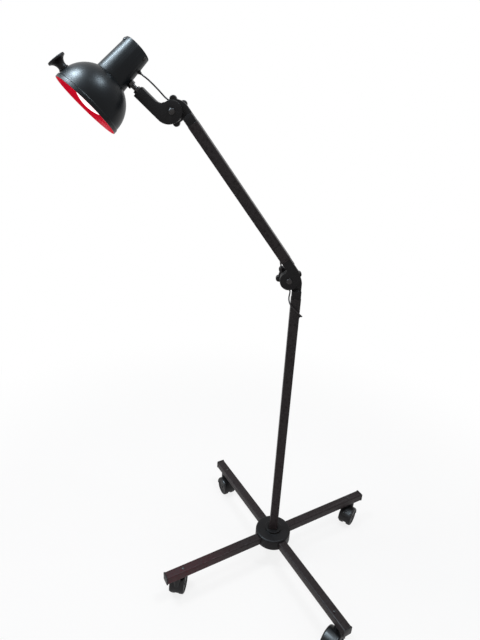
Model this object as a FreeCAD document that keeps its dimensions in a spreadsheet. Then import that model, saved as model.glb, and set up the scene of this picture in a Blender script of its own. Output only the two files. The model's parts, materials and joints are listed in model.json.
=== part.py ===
import FreeCAD, Part
import math
import os
import Sketcher

# Infrared heat therapy lamp: four-legged caster base, square post, swing arm and swivelling head.
# Millimetres and degrees. Z up, floor at zero, arm plane along X, head towards -X.

vec = FreeCAD.Vector
spin = FreeCAD.Rotation
alongX = vec(1, 0, 0)
alongY = vec(0, 1, 0)
alongZ = vec(0, 0, 1)

doc = FreeCAD.newDocument("heatLamp")
sheet = doc.addObject("Spreadsheet::Sheet", "sizes")
pieces = []

values = {
    # place of the post in the part's frame
    "postX": 120.1,
    "postY": 7.8,
    # square tube of legs, post and arm
    "tubeSide": 25.0,
    "tubeWall": 1.5,
    "tubeCorner": 3.0,
    # clearances
    "slipFit": 0.1,         # plug in a tube, each side
    "runFit": 0.05,         # turning shaft in its bore, on the radius
    "screwFit": 0.1,        # screw or pin in its hole, on the radius
    "wheelGap": 0.5,        # wheel to the web of its hood
    "hoodGap": 1.0,         # tread to the hood over it
    # base
    "legStart": 22.0,
    "legReach": 358.0,
    "legAngle": 32.36,
    "legCount": 4,
    "hubRadius": 54.0,
    "hubBelow": 3.0,        # hub under the legs
    "hubAbove": 7.0,        # hub over the legs
    "hubEdge": 6.0,
    "collarRadius": 25.0,
    "collarRise": 8.0,
    "plateRadius": 44.0,
    "plateThick": 2.5,
    "plateBoltCircle": 32.0,
    "plateBoltRadius": 3.0,
    "plateBoltHex": 10.0,
    "plateBoltHead": 4.0,
    "plateBoltGrip": 14.0,
    "collarScrewLength": 12.0,
    "collarScrewHead": 2.8,
    # leg ends
    "capFlange": 27.0,
    "capThick": 3.0,
    "capPlug": 60.0,
    "stemInset": 32.0,      # swivel axis in from the tube's end
    "screwInset": 52.0,
    # casters
    "wheelRadius": 30.0,
    "wheelWidth": 14.0,
    "wheelShoulder": 5.0,
    "wheelDish": 2.0,
    "hoodWeb": 12.0,
    "hoodWall": 1.6,
    "hoodWrap": 196.0,
    "hoodCurl": 40.0,       # where the hood's shoulder ends
    "axleRadius": 3.0,
    "axleBoss": 9.0,
    "trail": 20.0,
    "swivelRadius": 10.0,
    "swivelTop": 74.0,
    "stemRadius": 4.0,
    "stemRise": 20.0,       # stem above the thrust washer
    "stemSink": 16.0,       # stem down into the hood
    "washerThick": 1.0,
    # post
    "postFoot": 80.0,
    "postLength": 807.2,
    "leadHoleBelow": 93.8,  # lead hole under the elbow pivot
    "mainsHeight": 150.0,
    # knuckle castings
    "knuckleOffset": 21.3,  # tube centreline to pivot
    "shoulder": 46.0,       # tube end to pivot
    "neckWidth": 23.0,
    "knuckleThick": 23.0,
    "discRadius": 23.0,
    "lapStep": 25.5,        # start of the half lap before the pivot
    "neckFlat": 10.0,
    "neckFillet": 5.0,
    "frictionThick": 1.0,
    "frictionRadius": 22.0,
    "plugLength": 20.0,
    "pivotRadius": 4.0,
    "pivotHead": 7.0,
    "pivotHeadRise": 4.0,
    "bracketScrewDown": 11.0,
    # arm
    "armSpan": 467.4,       # pivot to pivot
    "armRise": 52.4,        # over the horizontal
    "leadPortElbow": 72.0,
    "leadPortWrist": 72.0,
    # wrist link and head nipple
    "linkRise": 41.3,
    "linkLength": 79.0,
    "linkWidth": 24.5,
    "linkFillet": 20.0,
    "headReach": 136.4,     # wrist pivot to can axis along the link
    "headSwivel": 19.8,
    "nippleRadius": 5.0,
    "nippleBore": 3.0,
    "nippleSocket": 24.0,
    "nutAcross": 16.0,
    "nutThick": 6.0,
    # head, heights along its own axis from the nipple
    "canBottom": -22.3,
    "canLength": 84.0,
    "canRadiusLow": 36.0,
    "canRadiusHigh": 31.0,
    "canWall": 1.0,
    "capBand": 14.0,
    "capEdge": 1.4,
    "capWall": 1.6,
    "capScrews": 3,
    "ventCount": 8,
    "ventLength": 12.0,
    "ventWidth": 3.0,
    "ventCircle": 18.0,
    "domeRadius": 76.0,
    "domeWall": 1.5,
    "domeNeck": 7.0,
    "neckGap": 0.6,         # dome neck to the can, on the radius
    "lipRadius": 77.6,
    "lipDepth": 11.9,       # rim under the centre of the dome's sphere
    "lipStep": 3.6,
    "holderRadius": 21.0,
    "holderLength": 34.0,
    "holderFloor": 8.0,
    "shellWall": 0.6,
    "shellDepth": 24.0,
    "bulbCapRadius": 13.2,
    "bulbCapLength": 27.0,
    "bulbLength": 136.0,
    "bulbRadius": 47.5,
    "bulbCrown": 75.0,      # radius of the bulb's front
    "bulbShoulder": 6.0,    # edge of the front and its rise
    "bulbBelly": 27.0,      # end of the widest part, from the front
    "bulbFlank": 78.0,      # start of the neck's sweep, from the front
    "bulbSweep": 98.0,      # end of it
    "bulbFlare": 7.0,       # the flank over the neck at that start
    "bulbNip": 3.0,         # the neck over the glass at the cap
    "bulbNeck": 18.0,
    "bulbFaceIn": 1.0,      # bulb front inside the rim
    "bulbWall": 2.0,
    "capFit": 0.15,         # bulb cap in the screw shell, on the radius
    "strapWidth": 14.0,
    "strapThick": 1.5,
    "strapTab": 10.0,
    # handle spool on the dome
    "handleAngle": 193.0,
    "handleTilt": 8.5,
    "handleTip": 20.0,
    "handleWaist": 10.0,
    "handleFoot": 11.0,
    "handleLength": 24.0,
    "handleRim": 5.0,
    "handleSeat": 0.1,
    "handleFootRise": 3.0,
    "handleSweep": 14.0,    # radius of the waist's two hollows
    "handleRound": 1.5,
    # star knobs
    "knobReach": 33.0,
    "knobValley": 25.5,
    "knobLobe": 8.0,
    "knobLobes": 6,
    "knobThick": 14.0,
    "knobHub": 13.0,
    "knobHubRise": 10.5,
    "knobGap": 0.3,         # hub to what it stands on
    "knobCover": 4.0,       # grip over the bolt's end
    "tipGap": 0.3,          # bolt's end to the bottom of its bore
    "elbowKnobTurn": 16.0,
    "wristKnobTurn": 38.0,
    # leads and what they pass through
    "leadRadius": 1.8,
    "leadFit": 0.1,
    "leadAside": 5.0,       # lead hole off the middle of the post's side
    "glandRadius": 4.6,
    "glandRise": 5.5,
    "glandUp": 30.2,
    "grommetLip": 1.4,
    "glandNeck": 3.1,
    "glandInside": 1.5,
    "glandFlange": 1.6,
    "glandStep": 0.8,
    "glandNose": 0.8,
    "clipReach": 18.5,      # lead in its keeper, from the wrist pivot
    "clipTurn": 30.0,       # keeper's arm, over the top from the upright
    "clipPlate": 1.2,
    "clipRing": 12.0,
    "clipRise": 5.0,        # lead's middle over the knuckle's rear face
    "clipWall": 1.2,
    "clipLength": 6.0,
    "mainsRadius": 3.6,
    "portNeck": 1.2,        # rubber round the lead inside the hole
    # small screws
    "smallScrewRadius": 2.0,
    "smallHeadRadius": 3.8,
    "smallHeadRise": 2.2,
    "smallScrewLength": 9.0,
}


class Size:
    # A length or angle that keeps its value and its sheet expression together.

    def __init__(self, value, text):
        self.value = value
        self.text = text

    def __add__(self, other):
        other = asSize(other)
        return Size(self.value + other.value, "(%s + %s)" % (self.text, other.text))

    def __sub__(self, other):
        other = asSize(other)
        return Size(self.value - other.value, "(%s - %s)" % (self.text, other.text))

    def __mul__(self, other):
        other = asSize(other)
        return Size(self.value * other.value, "(%s * %s)" % (self.text, other.text))

    def __truediv__(self, other):
        other = asSize(other)
        return Size(self.value / other.value, "(%s / %s)" % (self.text, other.text))

    def __radd__(self, other):
        return asSize(other) + self

    def __rsub__(self, other):
        return asSize(other) - self

    def __rmul__(self, other):
        return asSize(other) * self

    def __rtruediv__(self, other):
        return asSize(other) / self

    def __neg__(self):
        return Size(-self.value, "(0 - %s)" % self.text)


def asSize(item):
    if isinstance(item, Size):
        return item
    return Size(float(item), "(%r)" % float(item))


def root(item):
    return Size(math.sqrt(item.value), "sqrt(%s)" % item.text)


def cosine(angle):
    return Size(math.cos(math.radians(angle.value)), "cos(%s * 1 deg)" % angle.text)


def sine(angle):
    return Size(math.sin(math.radians(angle.value)), "sin(%s * 1 deg)" % angle.text)


class Dimensions:
    pass


def fillSheet(table):
    named = Dimensions()
    for row, (name, value) in enumerate(table.items(), 1):
        sheet.set("A%d" % row, name)
        sheet.set("B%d" % row, repr(value))
        sheet.setAlias("B%d" % row, name)
        setattr(named, name, Size(value, "sizes." + name))
    return named


d = fillSheet(values)
doc.recompute()


# Document helpers


def bind(item, name, size):
    size = asSize(size)
    if isinstance(getattr(item, name, 0), int):
        setattr(item, name, int(size.value))
    item.setExpression(name, size.text)


def place(item, position, rotation=spin()):
    # the base is bound to the sheet, the rotation is worked out from the same values
    x, y, z = [asSize(part) for part in position]
    item.Placement = FreeCAD.Placement(vec(x.value, y.value, z.value), rotation)
    item.setExpression("Placement.Base.x", x.text)
    item.setExpression("Placement.Base.y", y.text)
    item.setExpression("Placement.Base.z", z.text)


def keep(item, label):
    item.Label = label
    pieces.append(item)
    return item


def newBody(name, position=None, rotation=spin()):
    body = doc.addObject("PartDesign::Body", name)
    if position is not None:
        place(body, position, rotation)
    return body


def originItem(body, role):
    return [item for item in body.Origin.OriginFeatures if item.Role == role][0]


def sketchOn(body, role, shift=0, turned=None):
    # shift goes along the plane's normal, after the turn where there is one
    sketch = body.newObject("Sketcher::SketchObject", body.Name + "Sketch")
    shift = asSize(shift)
    sketch.AttachmentSupport = [(originItem(body, role), "")]
    sketch.MapMode = "FlatFace"
    if turned is None:
        sketch.setExpression("AttachmentOffset.Base.z", shift.text)
    else:
        base = turned.multVec(vec(0, 0, shift.value))
        sketch.AttachmentOffset = FreeCAD.Placement(base, turned)
    return sketch


def datum(sketch, kind, places, size):
    size = asSize(size)
    index = sketch.addConstraint(Sketcher.Constraint(kind, *places, size.value))
    sketch.setExpression("Constraints[%d]" % index, size.text)


def pin(sketch, edge, end, x, y):
    datum(sketch, "DistanceX", (edge, end), x)
    datum(sketch, "DistanceY", (edge, end), y)


def arcEdge(start, end, radius, side):
    # arc of at most a half turn from start to end, turning left for side 1 and right for side -1
    chord = end.sub(start)
    middle = start.add(end).multiply(0.5)
    rise = math.sqrt(max(radius ** 2 - chord.Length ** 2 / 4, 0))
    centre = middle.add(vec(-chord.y, chord.x, 0).normalize().multiply(rise * side))
    first, last = (start, end) if side > 0 else (end, start)
    angles = [math.atan2(point.y - centre.y, point.x - centre.x) for point in (first, last)]
    circle = Part.Circle(centre, alongZ, radius)
    return Part.ArcOfCircle(circle, angles[0], angles[1])


def outline(sketch, corners):
    # closed loop; a corner is (x, y), or (x, y, radius, side) where an arc arrives at it
    points = [vec(asSize(corner[0]).value, asSize(corner[1]).value, 0) for corner in corners]
    ends = []
    for index, corner in enumerate(corners):
        start = points[index - 1]
        end = points[index]
        if len(corner) == 2:
            edge = sketch.addGeometry(Part.LineSegment(start, end), False)
            ends.append((edge, 1, 2))
            continue
        radius, side = corner[2:]
        edge = sketch.addGeometry(arcEdge(start, end, asSize(radius).value, side), False)
        ends.append((edge, 1, 2) if side > 0 else (edge, 2, 1))
    for index, corner in enumerate(corners):
        edge, first, last = ends[index]
        after = ends[(index + 1) % len(ends)]
        sketch.addConstraint(Sketcher.Constraint("Coincident", edge, last, after[0], after[1]))
        pin(sketch, edge, last, corner[0], corner[1])
        if len(corner) > 2:
            datum(sketch, "Radius", (edge,), corner[2])


def circle(sketch, x, y, radius):
    centre = vec(asSize(x).value, asSize(y).value, 0)
    edge = sketch.addGeometry(Part.Circle(centre, alongZ, asSize(radius).value), False)
    pin(sketch, edge, 3, x, y)
    datum(sketch, "Radius", (edge,), radius)


def roundedRect(sketch, width, height, corner, x=0, y=0):
    w = width / 2
    h = height / 2
    outline(sketch, [
        (x + w, y + h - corner), (x + w - corner, y + h, corner, 1),
        (x - w + corner, y + h), (x - w, y + h - corner, corner, 1),
        (x - w, y - h + corner), (x - w + corner, y - h, corner, 1),
        (x + w - corner, y - h), (x + w, y - h + corner, corner, 1)])


def pad(body, sketch, length, reverse=False, middle=False):
    feature = body.newObject("PartDesign::Pad", body.Name + "Pad")
    feature.Profile = sketch
    bind(feature, "Length", length)
    feature.Reversed = reverse
    if middle:
        feature.SideType = "Symmetric"
    return feature


def cutCheck(body, feature, before):
    # a cut that points away from the solid leaves its volume as it was
    doc.recompute()
    if not feature.Shape.Volume < before - 1e-3:
        raise RuntimeError("%s of %s cuts nothing" % (feature.Name, body.Name))
    return feature


def pocket(body, sketch, length, reverse=False, middle=False):
    doc.recompute()
    before = body.Tip.Shape.Volume
    feature = body.newObject("PartDesign::Pocket", body.Name + "Pocket")
    feature.Profile = sketch
    bind(feature, "Length", length)
    feature.Reversed = reverse
    if middle:
        feature.SideType = "Symmetric"
    return cutCheck(body, feature, before)


def revolve(body, sketch, axis="V_Axis", angle=360, middle=False):
    feature = body.newObject("PartDesign::Revolution", body.Name + "Revolution")
    feature.Profile = sketch
    feature.ReferenceAxis = (sketch, [axis])
    bind(feature, "Angle", angle)
    feature.Midplane = middle
    return feature


def groove(body, sketch, axis="V_Axis"):
    doc.recompute()
    before = body.Tip.Shape.Volume
    feature = body.newObject("PartDesign::Groove", body.Name + "Groove")
    feature.Profile = sketch
    feature.ReferenceAxis = (sketch, [axis])
    feature.Angle = 360
    return cutCheck(body, feature, before)


def polar(body, feature, axis, count):
    pattern = body.newObject("PartDesign::PolarPattern", body.Name + "Polar")
    pattern.Originals = [feature]
    pattern.Axis = (originItem(body, axis + "_Axis"), [""])
    pattern.Angle = 360
    bind(pattern, "Occurrences", count)
    body.Tip = pattern
    return pattern


def group(name, items):
    # alike small pieces that share one node as separate solids
    compound = doc.addObject("Part::Compound", name)
    compound.Links = items
    return keep(compound, name)


# Places worked out from the sizes

tubeInside = d.tubeSide - 2 * d.tubeWall
tubeHalf = d.tubeSide / 2
insideCorner = d.tubeCorner - d.tubeWall
plugSide = tubeInside - 2 * d.slipFit
legUnder = d.swivelTop + d.washerThick
legMiddle = legUnder + tubeHalf
stemReach = d.legReach - d.stemInset
hubBottom = legUnder - d.hubBelow
hubHeight = d.hubBelow + d.tubeSide + d.hubAbove
wheelStart = d.hoodWeb / 2 + d.wheelGap
wheelEnd = wheelStart + d.wheelWidth
lap = (d.knuckleThick - d.frictionThick) / 2
elbowX = d.postX - d.knuckleOffset
elbowZ = d.postFoot + d.postLength + d.shoulder
wristX = elbowX - d.armSpan * cosine(d.armRise)
wristZ = elbowZ + d.armSpan * sine(d.armRise)
elbowAt = (elbowX, d.postY, elbowZ)
wristAt = (wristX, d.postY, wristZ)
canTop = d.canBottom + d.canLength
canTaper = (d.canRadiusLow - d.canRadiusHigh) / d.canLength
domeCentre = d.canBottom - root(d.domeRadius * d.domeRadius - d.canRadiusLow * d.canRadiusLow)
rimHeight = domeCentre - d.lipDepth
bulbFace = rimHeight + d.bulbFaceIn
bulbBack = bulbFace + d.bulbLength
glassBack = bulbBack - d.bulbCapLength
holderTop = bulbBack + d.holderFloor
boltShank = d.knuckleThick + d.knobHubRise + d.knobThick - d.knobCover
legNumbers = range(int(d.legCount.value))
casterAngles = [239.0, 301.0, 84.0, 231.0]

armTurn = spin(alongY, d.armRise.value - 90)
elbowTurn = armTurn.multiply(spin(alongX, 180))
linkTurn = spin(alongY, 90 + d.linkRise.value)
headTurn = spin(alongY, d.linkRise.value).multiply(spin(alongX, -d.headSwivel.value))
forward = spin(alongX, 90)
rearward = spin(alongX, -90)


def legAzimuth(index):
    return d.legAngle + 360 * index / d.legCount


def onLeg(index, reach, height):
    angle = legAzimuth(index)
    return (d.postX + reach * cosine(angle), d.postY + reach * sine(angle), height)


def onArm(along, across, aside=0):
    x = elbowX - along * cosine(d.armRise) + across * sine(d.armRise)
    z = elbowZ + along * sine(d.armRise) + across * cosine(d.armRise)
    return (x, d.postY + aside, z)


def onLink(along, across, aside=0):
    x = wristX - along * cosine(d.linkRise) + across * sine(d.linkRise)
    z = wristZ + along * sine(d.linkRise) + across * cosine(d.linkRise)
    return (x, d.postY + aside, z)


headAt = onLink(d.headReach, -d.knuckleOffset)


def onHead(x, y, z):
    x, y, z = [asSize(part) for part in (x, y, z)]
    swivelled = z * cosine(d.headSwivel) - y * sine(d.headSwivel)
    aside = y * cosine(d.headSwivel) + z * sine(d.headSwivel)
    return (headAt[0] + x * cosine(d.linkRise) + swivelled * sine(d.linkRise),
            headAt[1] + aside,
            headAt[2] - x * sine(d.linkRise) + swivelled * cosine(d.linkRise))


def canRadius(height):
    return d.canRadiusLow - (height - d.canBottom) * canTaper


# Pieces used in several places


def screw(name, position, rotation, length, headRadius=None, headRise=None, radius=None):
    # domed head outwards along the local Z axis, shank inwards
    headRadius = headRadius or d.smallHeadRadius
    headRise = headRise or d.smallHeadRise
    radius = radius or d.smallScrewRadius
    dome = headRise * 0.6
    ball = (headRadius * headRadius + dome * dome) / (2 * dome)
    body = newBody(name, position, rotation)
    profile = sketchOn(body, "XZ_Plane")
    outline(profile, [
        (0, -length), (radius, -length), (radius, 0), (headRadius, 0),
        (headRadius, headRise - dome), (0, headRise, ball, 1)])
    revolve(body, profile)
    return body


def grommet(name, position, rotation, bore, lip):
    # rubber bush: flange on the face, neck through the wall and a lip behind it
    body = newBody(name, position, rotation)
    profile = sketchOn(body, "XZ_Plane")
    neck = bore + d.portNeck
    flange = neck + lip
    behind = -(d.tubeWall + d.slipFit)
    outline(profile, [
        (bore, behind - d.grommetLip), (neck, behind - d.grommetLip), (neck + 0.8, behind),
        (neck, behind), (neck, 0), (flange, 0), (flange, d.grommetLip / 2),
        (flange - d.grommetLip / 2, d.grommetLip, d.grommetLip / 2, 1), (bore, d.grommetLip)])
    revolve(body, profile)
    return body


def knuckleForm(body, width, bottom, fillet, layer):
    # pivot at the origin, neck on the +X side going down; layer 1 keeps the rear half of the lap
    outer = d.knuckleOffset + width / 2
    inner = d.knuckleOffset - width / 2
    disc = d.discRadius
    swell = (outer * outer + d.neckFlat * d.neckFlat - disc * disc) / (2 * (outer - disc))
    swellX = outer - swell
    reach = swell - disc
    hollow = root((disc + fillet) * (disc + fillet) - (inner - fillet) * (inner - fillet))
    touch = disc / (disc + fillet)
    profile = sketchOn(body, "XZ_Plane")
    outline(profile, [
        (inner, -bottom), (outer, -bottom), (outer, -d.neckFlat),
        (-swellX * disc / reach, d.neckFlat * disc / reach, swell, 1),
        (-disc, 0, disc, 1), ((inner - fillet) * touch, -hollow * touch, disc, 1),
        (inner, -hollow, fillet, -1)])
    pad(body, profile, d.knuckleThick, middle=True)
    step = sketchOn(body, "XZ_Plane", -layer * d.frictionThick / 2)
    span = outer + disc
    outline(step, [
        (-span, -d.lapStep), (span, -d.lapStep), (span, span), (-span, span)])
    pocket(body, step, d.knuckleThick, reverse=layer > 0)
    bore = sketchOn(body, "XZ_Plane")
    circle(bore, 0, 0, d.pivotRadius + d.runFit)
    pocket(body, bore, 2 * d.knuckleThick, middle=True)


def tubeBracket(label, position, rotation):
    # knuckle half with a plug for the tube, held by one screw
    body = newBody(label, position, rotation)
    knuckleForm(body, d.neckWidth, d.shoulder, d.neckFillet, 1)
    plug = sketchOn(body, "XY_Plane", -d.shoulder)
    roundedRect(plug, plugSide, plugSide, insideCorner, d.knuckleOffset)
    pad(body, plug, d.plugLength, reverse=True)
    hole = sketchOn(body, "XZ_Plane")
    circle(hole, d.knuckleOffset, -d.shoulder - d.bracketScrewDown, d.smallScrewRadius + d.screwFit)
    pocket(body, hole, 2 * d.tubeSide, middle=True)
    return keep(body, label)


def frictionWasher(label, position):
    body = newBody(label, position)
    ring = sketchOn(body, "XZ_Plane")
    circle(ring, 0, 0, d.frictionRadius)
    circle(ring, 0, 0, d.pivotRadius + d.runFit)
    pad(body, ring, d.frictionThick, middle=True)
    return keep(body, label)


def pivotBolt(label, position):
    x, y, z = position
    head = (x, y - d.knuckleThick / 2, z)
    body = screw(label, head, forward, boltShank, d.pivotHead, d.pivotHeadRise, d.pivotRadius)
    return keep(body, label)


def starKnob(label, position, turned, seat):
    body = newBody(label, position, rearward.multiply(spin(alongZ, -turned.value)))
    start = d.knuckleThick / 2 + seat
    hub = sketchOn(body, "XY_Plane", start)
    circle(hub, 0, 0, d.knobHub)
    pad(body, hub, d.knobHubRise)
    grip = sketchOn(body, "XY_Plane", start + d.knobHubRise)
    circle(grip, 0, 0, d.knobValley)
    pad(body, grip, d.knobThick)
    lobe = sketchOn(body, "XY_Plane", start + d.knobHubRise)
    circle(lobe, d.knobReach - d.knobLobe, 0, d.knobLobe)
    polar(body, pad(body, lobe, d.knobThick), "Z", d.knobLobes)
    bore = sketchOn(body, "XY_Plane", start)
    circle(bore, 0, 0, d.pivotRadius + d.runFit)
    pocket(body, bore, boltShank - d.knuckleThick - seat + d.tipGap, reverse=True)
    return keep(body, label)


# Base


def baseHub():
    body = newBody("base_hub", (d.postX, d.postY, hubBottom))
    profile = sketchOn(body, "XZ_Plane")
    edge = d.hubEdge
    top = hubHeight
    cap = top + d.collarRise
    outline(profile, [
        (0, 0), (d.hubRadius - 2, 0), (d.hubRadius, 2, 2, 1),
        (d.hubRadius, top - edge), (d.hubRadius - edge, top, edge, 1),
        (d.collarRadius + 1, top), (d.collarRadius, top + 1, 1, -1),
        (d.collarRadius, cap - 1), (d.collarRadius - 1, cap, 1, 1), (0, cap)])
    revolve(body, profile)
    opening = d.tubeSide + 2 * d.slipFit
    socket = sketchOn(body, "YZ_Plane", d.legStart, spin(alongY, d.legAngle.value))
    roundedRect(socket, opening, opening, d.tubeCorner, 0, d.hubBelow + tubeHalf)
    polar(body, pocket(body, socket, d.hubRadius, reverse=True), "Z", d.legCount)
    bore = sketchOn(body, "XY_Plane", cap)
    roundedRect(bore, opening, opening, d.tubeCorner)
    pocket(body, bore, hubBottom + cap - d.postFoot)
    hole = sketchOn(body, "XY_Plane", 0, spin(alongZ, d.legAngle.value + 45))
    circle(hole, d.plateBoltCircle, 0, d.plateBoltRadius + d.screwFit)
    polar(body, pocket(body, hole, d.plateBoltGrip, reverse=True), "Z", d.legCount)
    setHole = sketchOn(body, "XZ_Plane")
    circle(setHole, 0, top + d.collarRise / 2, d.smallScrewRadius + d.screwFit)
    pocket(body, setHole, 2 * d.collarRadius)
    return keep(body, "base_hub")


def hubPlate():
    body = newBody("base_hub_plate", (d.postX, d.postY, hubBottom - d.plateThick))
    disc = sketchOn(body, "XY_Plane")
    circle(disc, 0, 0, d.plateRadius)
    pad(body, disc, d.plateThick)
    hole = sketchOn(body, "XY_Plane", 0, spin(alongZ, d.legAngle.value + 45))
    circle(hole, d.plateBoltCircle, 0, d.plateBoltRadius + d.screwFit)
    polar(body, pocket(body, hole, d.plateThick, reverse=True), "Z", d.legCount)
    return keep(body, "base_hub_plate")


def hubPlateBolts():
    bolts = []
    for index in legNumbers:
        angle = legAzimuth(index) + 45
        head = doc.addObject("Part::Prism", "plateBoltHead%d" % index)
        head.Polygon = 6
        bind(head, "Circumradius", d.plateBoltHex / 2 / cosine(asSize(30)))
        bind(head, "Height", d.plateBoltHead)
        shank = doc.addObject("Part::Cylinder", "plateBoltShank%d" % index)
        bind(shank, "Radius", d.plateBoltRadius)
        bind(shank, "Height", d.plateBoltHead + d.plateThick + d.plateBoltGrip - 1)
        bolt = doc.addObject("Part::Fuse", "plateBolt%d" % index)
        bolt.Base = head
        bolt.Tool = shank
        place(bolt, (d.postX + d.plateBoltCircle * cosine(angle),
                     d.postY + d.plateBoltCircle * sine(angle),
                     hubBottom - d.plateThick - d.plateBoltHead))
        bolts.append(bolt)
    return group("hub_plate_bolts", bolts)


def legTube(index):
    label = "leg_tube_%d" % (index + 1)
    body = newBody(label, onLeg(index, 0, legMiddle), spin(alongZ, legAzimuth(index).value))
    section = sketchOn(body, "YZ_Plane", d.legStart)
    roundedRect(section, d.tubeSide, d.tubeSide, d.tubeCorner)
    roundedRect(section, tubeInside, tubeInside, insideCorner)
    pad(body, section, d.legReach - d.legStart)
    under = sketchOn(body, "XY_Plane")
    circle(under, stemReach, 0, d.stemRadius + d.hoodGap)
    pocket(body, under, d.tubeSide)
    over = sketchOn(body, "XY_Plane")
    circle(over, d.legReach - d.screwInset, 0, d.smallScrewRadius + d.screwFit)
    pocket(body, over, d.tubeSide, reverse=True)
    return keep(body, label)


def legCap(index):
    # end cap whose long plug carries the caster's stem
    body = newBody("legCap%d" % index, onLeg(index, 0, legMiddle), spin(alongZ, legAzimuth(index).value))
    flange = sketchOn(body, "YZ_Plane", d.legReach)
    roundedRect(flange, d.capFlange, d.capFlange, d.tubeCorner)
    pad(body, flange, d.capThick)
    plug = sketchOn(body, "YZ_Plane", d.legReach)
    roundedRect(plug, plugSide, plugSide, insideCorner)
    pad(body, plug, d.capPlug, reverse=True)
    bore = sketchOn(body, "XY_Plane", -tubeHalf)
    circle(bore, stemReach, 0, d.stemRadius + d.runFit)
    pocket(body, bore, d.stemRise + d.slipFit, reverse=True)
    hole = sketchOn(body, "XY_Plane", tubeHalf)
    circle(hole, d.legReach - d.screwInset, 0, d.smallScrewRadius + d.screwFit)
    pocket(body, hole, d.smallScrewLength + 1)
    return body


def insertScrew(index):
    top = onLeg(index, d.legReach - d.screwInset, legUnder + d.tubeSide)
    return screw("insertScrew%d" % index, top, spin(), d.smallScrewLength)


def postTube():
    body = newBody("post_tube", (d.postX, d.postY, d.postFoot))
    section = sketchOn(body, "XY_Plane")
    roundedRect(section, d.tubeSide, d.tubeSide, d.tubeCorner)
    roundedRect(section, tubeInside, tubeInside, insideCorner)
    pad(body, section, d.postLength)
    side = sketchOn(body, "YZ_Plane")
    leadHeight = elbowZ - d.leadHoleBelow - d.postFoot
    circle(side, -d.leadAside, leadHeight, d.leadRadius + d.leadFit + d.portNeck)
    pocket(body, side, d.tubeSide, reverse=True)
    rear = sketchOn(body, "XZ_Plane")
    circle(rear, 0, d.mainsHeight - d.postFoot, d.mainsRadius + d.portNeck)
    circle(rear, 0, d.postLength - d.bracketScrewDown, d.smallScrewRadius + d.screwFit)
    pocket(body, rear, d.tubeSide)
    return keep(body, "post_tube")


def baseGrommets():
    lead = (d.postX + tubeHalf, d.postY - d.leadAside, elbowZ - d.leadHoleBelow)
    mains = (d.postX, d.postY + tubeHalf, d.mainsHeight)
    return group("base_grommets", [
        grommet("leadBush", lead, spin(alongY, 90), d.leadRadius + d.leadFit, d.grommetLip),
        grommet("mainsBush", mains, rearward, d.mainsRadius, 2 * d.grommetLip)])


def postScrews():
    rear = d.postY + tubeHalf
    top = (d.postX, rear, d.postFoot + d.postLength - d.bracketScrewDown)
    collar = (d.postX, d.postY + d.collarRadius, hubBottom + hubHeight + d.collarRise / 2)
    return group("post_screws", [
        screw("bracketScrew", top, rearward, d.smallScrewLength),
        screw("collarScrew", collar, rearward, d.collarScrewLength, d.collarScrewHead)])


def base():
    baseHub()
    hubPlate()
    hubPlateBolts()
    for index in legNumbers:
        legTube(index)
    group("leg_end_caps", [legCap(index) for index in legNumbers])
    group("insert_screws", [insertScrew(index) for index in legNumbers])
    postTube()
    baseGrommets()
    postScrews()
    tubeBracket("elbow_bracket_post", elbowAt, spin())
    frictionWasher("elbow_friction_washer", elbowAt)


# Casters, each drawn round its axle with the swivel axis on the -X side


def hoodSection(sketch):
    # rounded band over both wheels, cut across
    middle = wheelEnd - d.wheelShoulder
    centre = d.wheelRadius - d.wheelShoulder
    inner = d.wheelShoulder + d.hoodGap
    outer = inner + d.hoodWall
    ends = []
    for curl in (outer, inner):
        ends.append((middle + curl * cosine(d.hoodCurl), centre + curl * sine(d.hoodCurl)))
    (outerX, outerZ), (innerX, innerZ) = ends
    outline(sketch, [
        (-outerX, outerZ), (-middle, centre + outer, outer, -1), (middle, centre + outer),
        (outerX, outerZ, outer, -1), (innerX, innerZ), (middle, centre + inner, inner, 1),
        (-middle, centre + inner), (-innerX, innerZ, inner, 1)])


def casterHood(number, position, rotation):
    label = "caster_%d_hood" % number
    body = newBody(label, position, rotation)
    web = sketchOn(body, "XZ_Plane")
    reach = d.wheelRadius + d.hoodGap + d.hoodWall / 2
    boss = d.axleBoss
    outline(web, [
        (reach, 0), (0, reach, reach, 1), (-reach, 0, reach, 1), (-boss, -boss / 2),
        (0, -boss, 1.3 * boss, 1), (boss, -boss / 2, 1.3 * boss, 1)])
    pad(body, web, d.hoodWeb, middle=True)
    post = sketchOn(body, "XY_Plane")
    circle(post, -d.trail, 0, d.swivelRadius)
    pad(body, post, d.swivelTop - d.wheelRadius)
    room = sketchOn(body, "YZ_Plane")
    far = wheelEnd + d.swivelRadius
    clear = d.wheelRadius + d.hoodGap
    for side in (1, -1):
        near = side * d.hoodWeb / 2
        outline(room, [(near, 0), (side * far, 0), (side * far, clear), (near, clear)])
    groove(body, room, "H_Axis")
    band = sketchOn(body, "YZ_Plane")
    hoodSection(band)
    revolve(body, band, "H_Axis", d.hoodWrap, middle=True)
    stem = sketchOn(body, "XY_Plane", d.swivelTop - d.wheelRadius)
    circle(stem, -d.trail, 0, d.stemRadius + d.screwFit)
    pocket(body, stem, d.stemSink + d.slipFit)
    axle = sketchOn(body, "XZ_Plane")
    circle(axle, 0, 0, d.axleRadius + d.screwFit)
    pocket(body, axle, 2 * d.hoodWeb, middle=True)
    return keep(body, label)


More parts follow.
